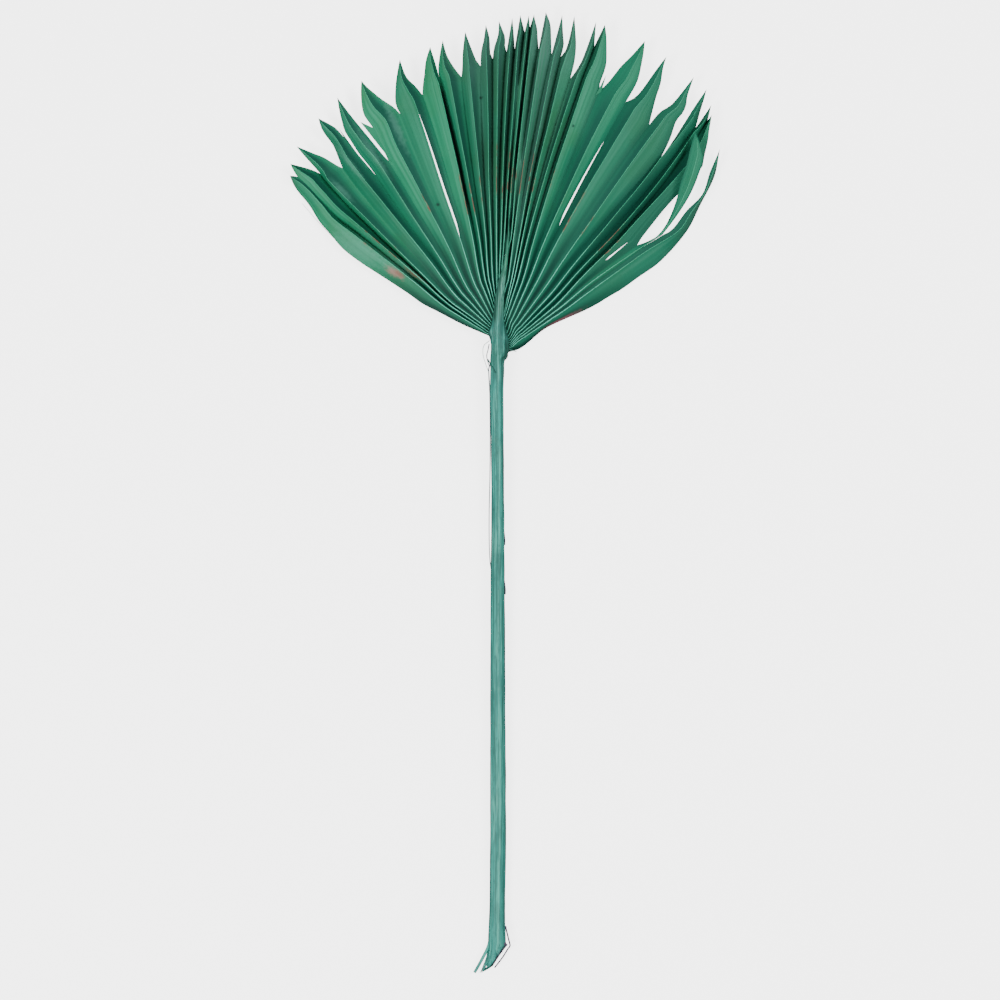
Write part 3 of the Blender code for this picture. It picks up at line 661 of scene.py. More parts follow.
def rib_course(number):
    """A rib's (reach, bearing) points: straight from its foot, then as measured."""
    start = rib_foot(number)
    measured = []
    for bearing, at in zip(LEAFLETS[number][1], RIB_REACHES):
        if at * MM > start.length + FIRST_TURN * MM:
            measured.append((at * MM, bearing))
    first_turn = plan(measured[0][1], measured[0][0])
    points = []
    for share in (0.0,) + STRAIGHT_SHARES:
        bearing, at = polar(start.lerp(first_turn, share))
        points.append((at, bearing))
    tip_reach, tip_bearing = tip_of(number)
    return points + measured + [(tip_reach * MM, tip_bearing)]


def rib_bearing(number, reach):
    return follow(rib_courses[number], reach)


rib_courses = [rib_course(number) for number in range(len(LEAFLETS))]


def bunched(step, steps):
    return (step / steps) ** BUNCHING


def valley_foot(number):
    """Foot of the valley between this leaflet and the next."""
    if number in (SPINE_LEAFLET - 1, SPINE_LEAFLET):
        return foot(SPINE_END, -1 if number < SPINE_LEAFLET else 1)
    return foot((LEAFLETS[number][0] + LEAFLETS[number + 1][0]) / 2, side_of(number))


def valley_steps(number):
    """How many steps the valley takes from its foot to its notch."""
    start = valley_foot(number).length
    end = LEAFLETS[number][2][1] * MM
    whole = tip_of(number)[0] * MM
    share = (end - start) / (whole - start)
    return min(STEPS - 2, round(STEPS * share ** (1 / BUNCHING)))


def valley_points(number):
    """The valley's points in plan, between the ribs on its two sides."""
    notch_bearing, notch_reach = LEAFLETS[number][2]
    notch_reach *= MM
    steps = valley_steps(number)
    foot_bearing, start = polar(valley_foot(number))
    left = rib_bearing(number, notch_reach)
    right = rib_bearing(number + 1, notch_reach)
    notch_share = (notch_bearing - left) / (right - left)

    def between_ribs(reach):
        rise = ((reach - start) / (notch_reach - start)) ** 3
        share = mix(0.5 + VALLEY_LEAN * side_of(number), notch_share, rise)
        share = mix(min(0.78, max(0.22, share)), share, rise)
        return mix(rib_bearing(number, reach), rib_bearing(number + 1, reach), share)

    offset = foot_bearing - between_ribs(start)
    points = []
    for step in range(steps + 1):
        reach = mix(start, notch_reach, bunched(step, steps))
        fade = 1 - ease((reach - start) / (15 * MM))
        points.append(plan(between_ribs(reach) + offset * fade, reach))
    return points


def course(places, shares):
    """Points at shares of the way along a smooth curve through the places."""
    passed = [0.0]
    for before, after in zip(places, places[1:]):
        passed.append(passed[-1] + (after - before).length)
    axes = [list(zip(passed, values)) for values in zip(*places)]
    return [Vector([follow(axis, share * passed[-1]) for axis in axes]) for share in shares]


def outer_edge(outline, side):
    """An outer edge of the fan, from its foot on the stalk to its leaflet's tip."""
    places = [foot(outline[0], side)]
    places += [plan(bearing, reach * MM) for reach, bearing in outline[1:]]
    return course(places, [bunched(step, STEPS) for step in range(STEPS + 1)])


def free_edge(notch, listed, tip, steps):
    """A leaflet's free edge, from just past the notch to the tip."""
    points = [(notch[1], notch[0])] + [row for row in listed if row[0] > notch[1]] + [tip]
    made = []
    for step in range(1, steps + 1):
        reach = mix(notch[1], tip[0], (step / steps) ** 0.9)
        made.append(plan(follow(points, reach), reach * MM))
    return made


def rib_points(number, left, right, first_free):
    """The rib follows its bearings, then keeps its place between the free edges."""
    start = rib_foot(number).length
    points = []
    for step in range(STEPS + 1):
        reach = mix(start, tip_of(number)[0] * MM, bunched(step, STEPS))
        points.append(plan(rib_bearing(number, reach), reach))
    across = right[first_free] - left[first_free]
    share = (points[first_free] - left[first_free]).dot(across) / across.length_squared
    share = min(0.85, max(0.15, share))
    for step in range(first_free + 1, STEPS + 1):
        passed = (step - first_free) / (STEPS - first_free)
        beside = left[step].lerp(right[step], mix(share, 0.5, passed))
        points[step] = points[step].lerp(beside, ease(passed * 3))
    return points


def leaflet_lines():
    """For each leaflet, its left edge, rib and right edge in plan, with the notch steps."""
    valleys = [valley_points(number) for number in range(len(LEAFLETS) - 1)]
    lines = []
    for number, (_, _, notch, left_points, tip, right_points) in enumerate(LEAFLETS):
        if number == 0:
            left = outer_edge(OUTER_LEFT, -1)
            left_notch = STEPS
        else:
            left = list(valleys[number - 1])
            left_notch = len(left) - 1
            left += free_edge(LEAFLETS[number - 1][2], left_points, tip, STEPS - left_notch)
        if notch is None:
            right = outer_edge(OUTER_RIGHT, 1)
            right_notch = STEPS
        else:
            right = list(valleys[number])
            right_notch = len(right) - 1
            right += free_edge(notch, right_points, tip, STEPS - right_notch)
        rib = rib_points(number, left, right, min(left_notch, right_notch))
        lines.append((left, rib, right, left_notch, right_notch))
    return lines


def ridge_height(number, point):
    """How high a rib stands: low at the sides of the fan, crowned in the middle."""
    bearing, reach = polar(point)
    away = min(1.0, abs(bearing - CROWN_BEARING) / CROWN_SPREAD)
    crown = math.cos(away * math.pi / 2) ** 1.5
    rise = math.sin(math.pi * min(reach, CROWN_REACH) / CROWN_REACH)
    lean = RIB_LEAN * math.sin(number * 2.4) * ease(reach / RIB_LEAN_REACH)
    return SIDE_HEIGHT + CROWN_HEIGHT * crown * rise + lean


def pleat_drop(number, rib, valley):
    """How far a valley lies below its rib, from the width that half a pleat really has."""
    run = (rib - valley).length
    real = min(DEEPEST_PLEAT, rib.length * HALF_PLEAT_PER_REACH)
    drop = math.sqrt(max(real * real - run * run, (LEAST_SLOPE * run) ** 2))
    drop = min(drop, run * STEEPEST_SHEET)
    return drop * STRAY_FLATNESS if number == STRAY_LEAFLET else drop


def fade_to_tip(edge, ridge, notch_step):
    """Past its notch an edge rises to meet the rib at the tip."""
    depth = ridge[notch_step] - edge[notch_step]
    for step in range(notch_step + 1, STEPS + 1):
        left_over = (STEPS - step) / (STEPS - notch_step)
        edge[step] = ridge[step] - depth * left_over ** 0.9


def raised_lines(lines):
    """Give every plan point its height, with neighbours sharing their valley's."""
    raised = []
    for number, (left, rib, right, _, _) in enumerate(lines):
        ridge = [ridge_height(number, point) for point in rib]
        raised.append({
            "rib": ridge,
            "left": [z - pleat_drop(number, a, b) for z, a, b in zip(ridge, rib, left)],
            "right": [z - pleat_drop(number, a, b) for z, a, b in zip(ridge, rib, right)],
        })
    for number in range(len(lines) - 1):
        shared = lines[number][4]
        right = raised[number]["right"]
        left = raised[number + 1]["left"]
        for step in range(shared + 1):
            right[step] = left[step] = max(right[step], left[step])
        fade_to_tip(right, raised[number]["rib"], shared)
        fade_to_tip(left, raised[number + 1]["rib"], shared)
    first_free = lines[STRAY_LEAFLET][3]
    for heights in raised[STRAY_LEAFLET].values():
        for step in range(first_free, STEPS + 1):
            passed = (step - first_free) / (STEPS - first_free)
            heights[step] += STRAY_LIFT * ease(passed * 2.2)
    return raised


def slit_rows(rows, rib, edge, slit):
    """Shares of the rows with the slit's two sides among them, and what the slit opens."""
    start, end, width, place = slit
    steps = [step for step in range(STEPS) if start * MM <= rib[step].length <= end * MM]
    near = []
    far = []
    for step in range(STEPS + 1):
        run = (rib[step] - edge[step]).xy.length or 1.0
        along = min(1.0, max(0.0, (step - steps[0]) / (steps[-1] - steps[0])))
        shape = min(1.0, along / 0.14) * (1.0 - along) ** 0.75
        opening = rib[step].xy.length * math.radians(width) * shape
        share = min(0.45, opening / run)
        low = mix(0.0, 1.0 - share, place)
        near.append(low)
        far.append(low + share)
    before = [[row * value for value in near] for row in rows[:-1]] if place > 0 else []
    after = [[mix(value, 1.0, row) for value in far] for row in rows[1:]] if place < 1 else []
    return before + [near, far] + after, len(before), range(steps[0], steps[-1])


def half_pleat(builder, layers, number, side, lines, wide):
    """Lay a grid between a rib and the line beside it, leaving out its slit if it has one."""
    rib, edge = lines
    rows = WIDE_ROWS if wide else NARROW_ROWS
    shares = [[row] * (STEPS + 1) for row in rows]
    gap_row = None
    gap_steps = ()
    slit = SLITS.get(number) if side > 0 else None
    if slit:
        shares, gap_row, gap_steps = slit_rows(rows, rib, edge, slit)
    count = len(shares) - 1
    grid = bmesh.ops.create_grid(builder, x_segments=STEPS, y_segments=count, size=0.5)
    places = {}
    for vert in grid["verts"]:
        step = round((vert.co.x + 0.5) * STEPS)
        row = round((vert.co.y + 0.5) * count)
        places[vert] = (step, row)
    faces = {face for vert in grid["verts"] for face in vert.link_faces}
    removed = []
    for face in faces:
        step = min(places[vert][0] for vert in face.verts)
        row = min(places[vert][1] for vert in face.verts)
        if row == gap_row and step in gap_steps:
            removed.append(face)
        for loop in face.loops:
            step, row = places[loop.vert]
            share = shares[row][step]
            across = number + 0.5 + side * share / 2
            loop[layers["pleats"]].uv = (across, rib[step].xy.length / PLEAT_LENGTH)
            # the narrow, steep side is marked for its painted shade
            loop[layers["steep"]] = 0.0 if wide else 1.0
    for vert, (step, row) in places.items():
        share = shares[row][step]
        point = rib[step].lerp(edge[step], share)
        fall = share ** 1.25 if wide else share
        point.z = mix(rib[step].z, edge[step].z, fall) + ripple(number, side, step, share)
        vert.co = point
        vert[layers["fold"]] = share
    bmesh.ops.delete(builder, geom=removed, context="FACES_ONLY")


def add_sliver(builder, layers, number, low, tip, high, lift):
    """A torn flap in the plan triangle low, tip, high, rising off the sheet towards its tip."""
    corners = [plan(bearing, reach * MM) for reach, bearing in (low, tip, high)]
    sheet = list(builder.verts)

    def sheet_height(point):
        return min(sheet, key=lambda vert: (vert.co.xy - point).length_squared).co.z

    base = min(sheet_height(corners[0]), sheet_height(corners[2])) + FLAP_STAND_OFF
    grid = bmesh.ops.create_grid(builder, x_segments=FLAP_STEPS, y_segments=2, size=0.5)
    for vert in grid["verts"]:
        passed = vert.co.x + 0.5
        across = vert.co.y + 0.5
        root = corners[0].lerp(corners[2], across)
        point = root.lerp(corners[1], passed * 0.99)
        cup = FLAP_CUP * (1 - passed) * (2 * across - 1) ** 2
        vert.co = (point.x, point.y, base + lift * MM * passed ** 1.5 + cup)
        vert[layers["fold"]] = 0.3
    for face in {face for vert in grid["verts"] for face in vert.link_faces}:
        for loop in face.loops:
            loop[layers["pleats"]].uv = (number + 0.35, loop.vert.co.xy.length / PLEAT_LENGTH)


def ripple(number, side, step, share):
    """Small unevenness of a dried face, none at its rib and valley."""
    middle = 4 * share * (1 - share)
    wave = noise.noise(Vector((number * 7.3 + side * 2.1, step / 9.0, share * 1.2)))
    return RIPPLE_HEIGHT * wave * middle * ease(step / STEPS * 2.5)


def thicken(builder):
    """Drop a copy of the sheet below itself, plumb, so that the two can never cross."""
    depth = builder.verts.layers.float.new("depth")
    for vert in builder.verts:
        slope = 0.0
        for face in vert.link_faces:
            if abs(face.normal.z) > 1e-4:
                slope = max(slope, face.normal.xy.length / abs(face.normal.z))
        vert[depth] = SHEET_THICKNESS * math.sqrt(1 + min(slope, STEEPEST_SHEET) ** 2)
    made = bmesh.ops.extrude_face_region(builder, geom=list(builder.faces))
    for item in made["geom"]:
        if isinstance(item, bmesh.types.BMVert):
            item.co.z -= item[depth]
    builder.verts.layers.float.remove(builder.verts.layers.float["depth"])


def crease(builder):
    """Keep the shading crisp along the ribs, the valleys and every sharp turn."""
    fold = builder.verts.layers.float["fold"]
    for edge in builder.edges:
        ends = [vert[fold] for vert in edge.verts]
        on_line = max(ends) < 0.001 or min(ends) > 0.999
        edge.smooth = not on_line and edge.calc_face_angle(math.pi) < CREASE_ANGLE


def settle(sheet, crests):
    """Sink and lean the sheet until its lowest points on both sides lie on the table."""
    middle = 40 * MM
    for _ in range(4):
        left = min((place for place in sheet if place.x < -middle), key=lambda place: place.z)
        right = min((place for place in sheet if place.x > middle), key=lambda place: place.z)
        lean = (right.z - left.z) / (right.x - left.x)
        level = left.z - lean * left.x
        for place in sheet + crests:
            place.z -= level + lean * place.x
    for place in sheet + crests:
        place.z = max(place.z, 0.0) + REST_HEIGHT


LEAF_PAINTED_LIGHT = dye(112, 182, 160)
LEAF_LIGHT = dye(48, 152, 112)
LEAF_MID = dye(32, 130, 93)
LEAF_WARM = dye(46, 128, 80)
LEAF_DEEP = dye(26, 96, 76)
LEAF_FADED = dye(84, 122, 112)
LEAF_PAINTED_SHADE = dye(14, 68, 58)
STEEP_PAINTED_SHADE = dye(16, 76, 63)
HUB_PAINTED_SHADE = dye(24, 98, 76)
HUB_VALLEY_PAINTED_SHADE = dye(4, 48, 41)
FOLD_PAINTED_SHADOW = dye(8, 18, 20)
RUST = dye(132, 92, 76)
PINK = dye(170, 124, 116)
PLUM_BROWN = dye(112, 70, 78)
SPECK = dye(20, 44, 40)

# Marks of the leaf: where, right and up of the hub, half width and half length in millimetres,
# and the bearing that they run along
DARK_SPOTS = ((-10.9, 137.3, 1.3, 1.1, 0), (-35.5, 76.1, 1.4, 1.2, 0), (41.8, 120.7, 0.9, 0.9, 0))
# painted sheen: soft pale highlights along the leaflets
PAINTED_SHEEN_SPOTS = (
    (-81.0, 51.5, 9.0, 19.0, -57), (-90.7, 84.6, 2.4, 9.0, -46), (-60.0, 42.0, 5.0, 15.0, -58),
    (-60.0, 122.0, 2.6, 18.0, -24), (-73.0, 106.0, 2.0, 18.0, -35), (-86.0, 100.0, 1.8, 14.0, -40),
)
PINK_SPOTS = ((-60.2, 37.6, 2.6, 6.5, -58),)
BROWN_SPOTS = ((-57.4, 36.6, 1.5, 4.0, -58), (-49.0, 36.5, 1.3, 8.0, -54))
BROWN_RIM = (35.0, 10.0, 15.0, 13.0, 0)

# The fold whose deep gap is painted black as its shadow: from its leaflet's rib to the valley, and
# from and to what share of the longest pleat
PAINTED_SHADOW_FOLD = (7.60, 7.99)
PAINTED_SHADOW_REACH = (0.34, 0.44, 0.76, 0.80)


def spot_mask(tree, place, spot, ragged):
    """One inside the oval and nothing past its ragged rim, whatever the height."""
    right, up, half_width, half_length, bearing = spot
    oval = add(
        tree, "ShaderNodeMapping",
        {"Vector": stretched(tree, place, (1, 1, 0)),
         "Location": (hub.x + right * MM, hub.y + up * MM, 0),
         "Rotation": (0, 0, -math.radians(bearing)),
         "Scale": (half_width * MM, half_length * MM, 1)},
        vector_type="TEXTURE",
    )
    away = add(tree, "ShaderNodeVectorMath", {0: oval.outputs["Vector"]}, operation="LENGTH")
    uneven = sums(tree, "MULTIPLY_ADD", ragged, 1.2, away.outputs["Value"])
    return between(tree, uneven, 1.9, 0.7)


def leaf_marks(tree, place, number, fold):
    """Washes for the undyed, browned and specked places and for the painted sheen, each a soft oval on the
    sheet.
    """
    ragged = grain(tree, place, 500.0, 3.0)
    marks = ((PAINTED_SHEEN_SPOTS, 0.22, LEAF_PAINTED_LIGHT), (PINK_SPOTS, 0.75, PINK), (BROWN_SPOTS, 0.7, RUST),
             (DARK_SPOTS, 0.8, SPECK))
    washes = []
    for spots, strength, shown in marks:
        for spot in spots:
            washes.append((shown, spot_mask(tree, place, spot, ragged), strength))
    rim = spot_mask(tree, place, BROWN_RIM, ragged)
    washes.append((PLUM_BROWN, rim, (fold, 0.6, 0.85), (number, 28.4, 28.6)))
    return washes


def own_draw(tree, number, shift):
    """A draw of its own, from 0 to 1, for each leaflet."""
    whole = sums(tree, "FLOOR", number)
    return add(tree, "ShaderNodeTexWhiteNoise", {"W": sums(tree, "ADD", whole, shift)},
               noise_dimensions="1D").outputs["Value"]


def rust_share(tree, number, along):
    """Where the leaflet's rib is worn to brown: a short stretch, at another reach on each."""
    first = own_draw(tree, number, 0.25)
    second = own_draw(tree, number, 40.25)
    centre = sums(tree, "MULTIPLY_ADD", first, 0.10, 0.42)
    away = sums(tree, "ABSOLUTE", sums(tree, "SUBTRACT", along, centre))
    inside = sums(tree, "SUBTRACT", sums(tree, "MULTIPLY_ADD", second, 0.11, -0.015), away)
    return between(tree, inside, 0.0, 0.02)


def blade_finish():
    """Deep dye over a finely veined sheet, with painted shade in the valleys, on the steep sides and
    towards the hub, and painted highlights near the ribs.
    """
    tree, shader, made = new_finish("dyed_blade")
    place = add(tree, "ShaderNodeTexCoord").outputs["Object"]
    pleats = add(tree, "ShaderNodeUVMap", uv_map="pleats").outputs["UV"]
    parts = add(tree, "ShaderNodeSeparateXYZ", {"Vector": pleats})
    number = parts.outputs["X"]
    along = parts.outputs["Y"]
    fold = attribute(tree, "fold")
    steep = attribute(tree, "steep")
    wide = sums(tree, "SUBTRACT", 1.0, steep)
    tone = own_draw(tree, number, 7.25)
    vein = long_grain(tree, pleats, (46, 1.6, 1), 4.0, 0.7)
    streak = long_grain(tree, pleats, (9, 1.1, 1), 3.0)
    worn = long_grain(tree, pleats, (6, 24, 1), 2.0)
    fleck = long_grain(tree, pleats, (22, 60, 1), 1.0)
    cloud = grain(tree, place, 26.0, 3.0)
    hub_shade_share = between(tree, along, 0.50, 0.16, 0.0, 0.9)
    fading = sums(tree, "MULTIPLY_ADD", between(tree, number, 14.0, 15.0), 0.08, along)
    stray = shared(tree, ((number, 26.9, 27.0), (number, 28.1, 28.0)))
    not_stray = sums(tree, "MULTIPLY_ADD", stray, -0.8, 1.0)
    shadow_from, shadow_to = PAINTED_SHADOW_FOLD
    colour = tint(tree, between(tree, streak, 0.30, 0.70), LEAF_MID, LEAF_LIGHT)
    colour = washed(tree, colour, (
        (LEAF_WARM, (cloud, 0.46, 0.66, 0.0, 0.6)),
        (LEAF_DEEP, (tone, 0.4, 1.0, 0.0, 0.5)),
        # painted highlight: a pale sheen along the wide faces next to their ribs
        (LEAF_PAINTED_LIGHT, (fold, 0.8, 0.1), (streak, 0.35, 0.6), wide, 0.10),
        (LEAF_DEEP, (vein, 0.50, 0.70, 0.0, 0.5)),
        # painted shade: the narrow, steep side of each pleat darker from its rib, less so towards its
        # valley and the tips
        (STEEP_PAINTED_SHADE, steep, (fading, 0.78, 0.98, 0.94, 0.45), (fold, 0.3, 1.0, 1.0, 0.2), not_stray),
    ))
    # Leaflets that differ from their neighbours, by their number and the share of the way across it, with
    # painted light and painted shade among them
    colour = washed(tree, colour, (
        # painted light: the folds of the crowded middle leaflets lightened against the shadow in them
        (LEAF_PAINTED_LIGHT, (number, 8.9, 10.5), (number, 21.5, 19.5), (fold, 0.5, 1.0, 0.0, 0.5),
         (along, 0.86, 0.66)),
        # painted light on the face just right of the fold that is painted black
        (LEAF_LIGHT, (number, shadow_to, shadow_to + 0.01), (number, 8.45, 8.1, 0.0, 0.6)),
        (LEAF_FADED, (number, 15.45, 15.55), (number, 18.0, 17.9), (streak, 0.40, 0.60, 0.1, 0.6)),
        (LEAF_FADED, (number, 8.0, 10.0), (number, 21.0, 19.0), (along, 0.66, 0.92, 0.0, 0.4)),
        (LEAF_DEEP, (number, 19.0, 21.0), (number, 27.9, 28.1, 0.22, 0.5)),
        (LEAF_FADED, (number, 7.9, 10.0), (number, 21.0, 19.0, 0.03, 0.15)),
        # painted shade towards the valleys of the right-hand leaflets
        (LEAF_PAINTED_SHADE, (number, 18.9, 20.0), (fold, 0.45, 1.0, 0.0, 0.45), (along, 0.95, 0.75, 0.3, 1.0)),
        # painted shade in every valley
        (LEAF_PAINTED_SHADE, (fold, 0.75, 1.0, 0.0, 0.12)),
        # painted shade over the far right leaflets, less towards their tips
        (LEAF_PAINTED_SHADE, (number, 23.6, 24.4), (number, 27.1, 26.9), (along, 0.62, 0.86, 0.6, 0.15)),
    ))
    # Painted shade round the hub and deeper in its valleys, the painted shadow in the fold that gapes, wear
    # and specks
    colour = washed(tree, colour, (
        (HUB_PAINTED_SHADE, hub_shade_share),
        (HUB_VALLEY_PAINTED_SHADE, hub_shade_share, (fold, 0.25, 0.8)),
        (FOLD_PAINTED_SHADOW, (number, shadow_from - 0.02, shadow_from + 0.02), (number, shadow_to + 0.01, shadow_to),
         (along, PAINTED_SHADOW_REACH[0], PAINTED_SHADOW_REACH[1]), (along, PAINTED_SHADOW_REACH[3], PAINTED_SHADOW_REACH[2])),
        (RUST, rust_share(tree, number, along), (worn, 0.40, 0.60), (fold, 0.13, 0.03), 0.85),
        (SPECK, (fleck, 0.74, 0.80, 0.0, 0.6)),
    ))
    colour = washed(tree, colour, leaf_marks(tree, place, number, fold))
    roughness = between(tree, vein, 0.3, 0.7, 0.40, 0.58)
    relief = sums(tree, "MULTIPLY_ADD", streak, 0.25, vein)
    surface(tree, shader, colour, roughness, 0.11, relief, 0.4, 0.0003)
    return made


lines = leaflet_lines()
heights = raised_lines(lines)
rib_lines = []


def make_blade():
    builder = bmesh.new()
    layers = {
        "pleats": builder.loops.layers.uv.new("pleats"),
        "steep": builder.loops.layers.float.new("steep"),
        "fold": builder.verts.layers.float.new("fold"),
    }
    for number, line in enumerate(lines):
        own = heights[number]
        left_line, rib_line, right_line = [
            [Vector((point.x, point.y, height)) for point, height in zip(points, own[name])]
            for points, name in zip(line, ("left", "rib", "right"))
        ]
        leftwards = number <= SPINE_LEAFLET
        half_pleat(builder, layers, number, -1, (rib_line, left_line), leftwards)
        half_pleat(builder, layers, number, 1, (rib_line, right_line), not leftwards)
        rib_lines.append(rib_line)
    bmesh.ops.remove_doubles(builder, verts=builder.verts, dist=0.00001)
    bmesh.ops.delete(builder, geom=[v for v in builder.verts if not v.link_faces], context="VERTS")
    for sliver in SLIVERS:
        add_sliver(builder, layers, *sliver)
    crests = [point for rib_line in rib_lines for point in rib_line]
    settle([vert.co for vert in builder.verts], crests)
    bmesh.ops.recalc_face_normals(builder, faces=builder.faces)
    thicken(builder)
    for vert in builder.verts:
        vert.co.z = max(vert.co.z, 0.0)
    bmesh.ops.recalc_face_normals(builder, faces=builder.faces)
    crease(builder)
    return finished("dyed_fan_blade", builder, blade_finish())


blade = make_blade()
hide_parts("fan_blade")


# Ribs: the hard thread that stiffens each fold, raised like a fine cord along the crest, palest
# at the hub and worn to brown part of the way out. Each is a thin tube sunk into its crest.

# Half thickness of a rib at each reach from the hub, in millimetres, and what share of it the
# tube's middle lies below the crest
RIB_SIZES = (
    (0.0, 0.09), (9.0, 0.14), (22.0, 0.18), (36.0, 0.25), (65.0, 0.23), (105.0, 0.15), (150.0, 0.12),
    (190.0, 0.05),
)
RIB_SINK = 0.25
RIB_PALE = dye(112, 220, 192)
RIB_GREEN = dye(66, 176, 134)
TUBE_SIDES = 6


def rib_finish():
    tree, shader, made = new_finish("pale_rib")
    place = add(tree, "ShaderNodeTexCoord").outputs["Object"]
    reach = attribute(tree, "reach")
    uneven = grain(tree, place, 90.0, 3.0)
    worn = grain(tree, place, 180.0, 2.0)
    along = sums(tree, "MULTIPLY", reach, MM / PLEAT_LENGTH)
    rust = rust_share(tree, attribute(tree, "leaflet"), along)
    colour = washed(tree, RIB_PALE, (
        (RIB_GREEN, (reach, 22.0, 95.0)),
        (RIB_GREEN, (uneven, 0.45, 0.7, 0.0, 0.5)),
        (RUST, rust, (worn, 0.36, 0.56)),
    ))
    surface(tree, shader, colour, 0.5, 0.25, uneven, 0.3, 0.0002)
    return made


def tube_rings(path, sizes, values, flatness=1.0):
    """Rings round a path in millimetres, each square to it, with the value of each ring."""
    rings = []
    last = len(path) - 1
    for index, place in enumerate(path):
        way = (path[min(index + 1, last)] - path[max(index - 1, 0)]).normalized()
        across = way.cross(Vector((0, 0, 1)))
        across = across.normalized() if across.length > 1e-6 else Vector((1, 0, 0))
        up = across.cross(way)
        ring = []
        for side in range(TUBE_SIDES):
            turn = side / TUBE_SIDES * math.tau
            offset = (across * math.cos(turn) + up * math.sin(turn)) * sizes[index]
            offset.z *= flatness
            ring.append((place + offset, values[index]))
        rings.append(ring)
    return rings


def make_ribs():
    builder = bmesh.new()
    reach_layer = builder.verts.layers.float.new("reach")
    leaflet_layer = builder.verts.layers.float.new("leaflet")
    for number, rib_line in enumerate(rib_lines):
        before = len(builder.verts)
        path = [point / MM for point in rib_line[:-1]]
        reaches = [point.xy.length for point in path]
        sizes = [follow(RIB_SIZES, reach) for reach in reaches]
        path = [point - Vector((0, 0, RIB_SINK * size)) for point, size in zip(path, sizes)]
        rolled(tube_rings(path, sizes, reaches), builder, reach_layer)
        builder.verts.ensure_lookup_table()
        for vert in builder.verts[before:]:
            vert[leaflet_layer] = number + 0.5
    close_ends(builder)
    return finished("leaf_ribs", builder, rib_finish())


ribs = make_ribs()


# Torn fibres: stringy bits of skin and pith left where the leaf was torn and stripped, pale or
# gone plum-grey. Each is a thin strand laid along a few given points.

PLUM = dye(62, 52, 76)
PALE_THREAD = dye(140, 178, 172)

# Strands: (across, up the leaf, height) points and half width at root and tip, in millimetres;
# flatness, from a round thread at 1; and tone, from the stalk's own dye at 0 to plum-grey at 1
STRANDS = (
    (((-5.2, -342.0, 4.4), (-6.7, -348.6, 4.8), (-10.4, -356.2, 4.4), (-14.6, -363.8, 3.4)),
     1.0, 0.85, 0.4, 0.0),
    (((3.2, -336.8, 6.2), (4.0, -340.6, 5.6), (5.4, -346.4, 4.9), (5.8, -348.2, 4.8),
      (4.6, -350.0, 4.4), (1.8, -354.6, 3.4), (-3.1, -361.2, 2.0)), 0.46, 0.42, 1.0, 1.0),
    (((3.7, -347.9, 4.6), (1.6, -350.6, 4.0), (-0.9, -354.2, 3.4), (-4.6, -360.1, 2.6)),
     0.5, 0.45, 0.8, 1.0),
    (((-4.4, -359.2, 2.8), (-6.8, -361.0, 2.4), (-9.8, -362.9, 2.0)), 0.95, 0.6, 0.5, -0.7),
    (((2.4, -346.4, 5.6), (3.5, -347.9, 5.6), (3.9, -347.0, 5.6)), 1.1, 0.5, 0.9, 1.0),
    (((-6.0, -1.5, 9.6), (-9.3, -4.5, 8.8), (-9.7, -9.5, 8.2), (-8.3, -14.5, 8.4),
      (-6.2, -20.5, 9.4)), 0.20, 0.14, 1.0, 0.5),
    (((-6.2, -3.5, 9.8), (-6.9, -7.0, 9.4), (-7.6, -10.0, 9.0), (-7.0, -13.5, 9.2),
      (-5.9, -16.5, 9.8)), 0.32, 0.22, 1.0, 1.0),
    (((-5.0, -13.0, 9.6), (-6.3, -16.0, 9.6), (-6.5, -20.0, 9.4), (-6.1, -25.5, 9.2),
      (-5.8, -34.0, 8.8), (-5.6, -60.0, 8.4), (-5.8, -82.0, 8.2), (-6.2, -98.0, 8.0),
      (-6.2, -116.0, 7.8), (-5.8, -127.0, 7.6), (-5.1, -133.0, 7.4)), 0.34, 0.26, 1.0, 0.8),
    (((-7.0, -12.4, 10.4), (-5.2, -15.4, 12.9), (-2.6, -20.2, 14.3)), 0.46, 0.2, 0.5, -0.6),
    (((3.6, -6.0, 10.2), (7.6, -7.2, 9.2), (9.6, -7.9, 8.8)), 0.55, 0.12, 0.6, -0.6),
    (((4.2, -8.0, 9.6), (6.6, -7.4, 9.0), (9.0, -6.4, 9.0)), 0.36, 0.10, 0.6, -0.8),
    (((3.6, -7.5, 10.2), (4.0, -10.5, 9.8), (2.4, -12.9, 9.6)), 0.8, 0.4, 0.6, -1.0),
    (((1.9, -108.0, 8.2), (2.7, -115.5, 8.0), (2.6, -118.6, 7.9)), 0.4, 0.42, 0.6, 0.9),
    (((2.1, -137.0, 7.6), (3.0, -144.0, 7.4), (2.9, -146.8, 7.3)), 0.4, 0.45, 0.6, 0.9),
    (((-113.5, 77.5, 1.2), (-103.5, 66.0, 0.9), (-90.5, 52.6, 0.8)), 0.12, 0.1, 1.0, 0.5),
)

# Frayed ends all along the tear, none past the longest splinter
LOWEST_FRAY = -363.9
STRAND_STEPS = 24
FRAY_STEPS = 8
FRAYS = 16
FRAY_LENGTHS = (0.8, 2.6)
FRAY_SIZES = (0.08, 0.18)


def fibre_finish():
    tree, shader, made = new_finish("torn_fibre")
    place = add(tree, "ShaderNodeTexCoord").outputs["Object"]
    tone = attribute(tree, "tone")
    uneven = grain(tree, place, 160.0, 3.0)
    colour = washed(tree, STALK_MID, (
        (STALK_LIGHT, (uneven, 0.35, 0.65)),
        (HUB_DARK, (tone, -0.1, -0.8)),
        (PALE_THREAD, (tone, 0.15, 0.5)),
        (PLUM, (tone, 0.5, 0.95)),
    ))
    surface(tree, shader, colour, 0.6, 0.5, uneven, 0.4, 0.0002)
    return made


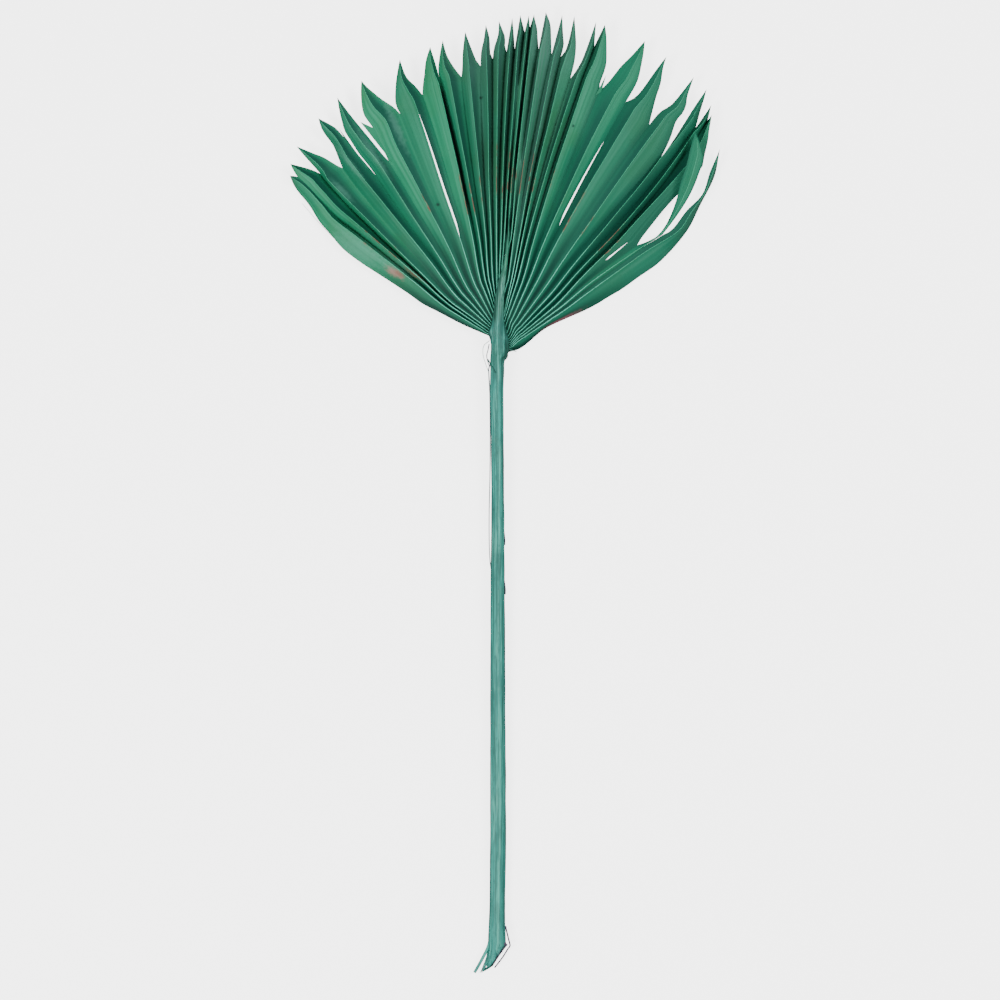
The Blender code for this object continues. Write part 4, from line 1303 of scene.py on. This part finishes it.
def lay_strand(builder, layer, strand, steps):
    """One strand along its points, tapering from root to tip."""
    places, root, tip, flatness, tone = strand
    path = course([Vector(place) for place in places], [step / steps for step in range(steps + 1)])
    sizes = [mix(root, tip, step / steps) for step in range(steps + 1)]
    rolled(tube_rings(path, sizes, [tone] * len(path), flatness), builder, layer)


def make_fibres():
    builder = bmesh.new()
    tone_layer = builder.verts.layers.float.new("tone")
    for strand in STRANDS:
        lay_strand(builder, tone_layer, strand, STRAND_STEPS)
    draw = random.Random(11)
    for _ in range(FRAYS):
        turn = draw.uniform(0.0, math.tau)
        place, _ = torn_point(turn, 1.0)
        root, _ = torn_point(turn, 0.7)
        length = draw.uniform(*FRAY_LENGTHS)
        way = (place - root).normalized() * length
        way += Vector((draw.uniform(-0.35, 0.2), draw.uniform(-0.2, 0.2), -0.1)) * length
        end = place + way
        end.y = max(end.y, LOWEST_FRAY)
        bend = place.lerp(end, 0.5) + Vector((draw.uniform(-0.3, 0.3), 0.0, draw.uniform(-0.2, 0.3)))
        size = draw.uniform(*FRAY_SIZES)
        tone = draw.choice((0.0, 0.3, 0.45, 1.0))
        fray = ((root, place, bend, end), size * 1.3, size * 0.5, 1.0, tone)
        lay_strand(builder, tone_layer, fray, FRAY_STEPS)
    close_ends(builder)
    for vert in builder.verts:
        vert.co.z = max(vert.co.z, 0.1 * MM)
    return finished("torn_fibres", builder, fibre_finish())


fibres = make_fibres()


# Table and light: a plain pale table that shines softly, under two broad soft lights from above,
# with the camera straight over the leaf so that it fills the picture as in the photograph.

TABLE_SIZE = 6.0
TABLE_DROP = 0.0001
TABLE_GLOW = 3.4
ROOM_LIGHT = 0.42
PICTURE_WIDTH = 0.572
CAMERA_HEIGHT = 2.2
LEAF_HEIGHT = 0.010

# Lights: name, place, width and power, both aimed at the blade
LIGHTS = (
    ("soft_key", (-0.9, -0.55, 1.5), 0.7, 25.0),
    ("soft_fill", (0.95, 0.3, 1.5), 0.8, 19.0),
)
LIGHT_AIM = Vector((0, 0.05, 0))
PICTURE_CENTRE = Vector((hub.x, hub.y - 92.7 * MM, 0.0))


def table_finish():
    tree, shader, made = new_finish("pale_table")
    shader.inputs["Base Color"].default_value = (0.93, 0.93, 0.93, 1.0)
    shader.inputs["Roughness"].default_value = 0.9
    shader.inputs["Specular IOR Level"].default_value = 0.1
    shader.inputs["Emission Color"].default_value = (1.0, 1.0, 1.0, 1.0)
    shader.inputs["Emission Strength"].default_value = TABLE_GLOW
    return made


def make_table():
    builder = bmesh.new()
    bmesh.ops.create_grid(builder, x_segments=1, y_segments=1, size=TABLE_SIZE)
    bmesh.ops.translate(builder, verts=builder.verts, vec=(0, 0, -TABLE_DROP))
    table = made_object("pale_table", builder, table_finish())
    table.visible_diffuse = False
    table.visible_glossy = False


def add_light(name, place, width, power):
    light = bpy.data.lights.new(name, "AREA")
    light.shape = "DISK"
    light.size = width
    light.energy = power
    lamp = bpy.data.objects.new(name, light)
    lamp.location = place
    lamp.rotation_euler = (LIGHT_AIM - Vector(place)).to_track_quat("-Z", "Y").to_euler()
    bpy.context.scene.collection.objects.link(lamp)


make_table()
for light in LIGHTS:
    add_light(*light)

sky = bpy.data.worlds.new("pale_room")
sky.use_nodes = True
sky.node_tree.nodes["Background"].inputs["Color"].default_value = (1, 1, 1, 1)
sky.node_tree.nodes["Background"].inputs["Strength"].default_value = ROOM_LIGHT
bpy.context.scene.world = sky

lens = bpy.data.cameras.new("camera")
lens.sensor_width = 36.0
lens.lens = lens.sensor_width * (CAMERA_HEIGHT - LEAF_HEIGHT) / PICTURE_WIDTH
lens.clip_start = 0.05
camera = bpy.data.objects.new("camera", lens)
camera.location = PICTURE_CENTRE + Vector((0, 0, CAMERA_HEIGHT))
bpy.context.scene.collection.objects.link(camera)
bpy.context.scene.camera = camera
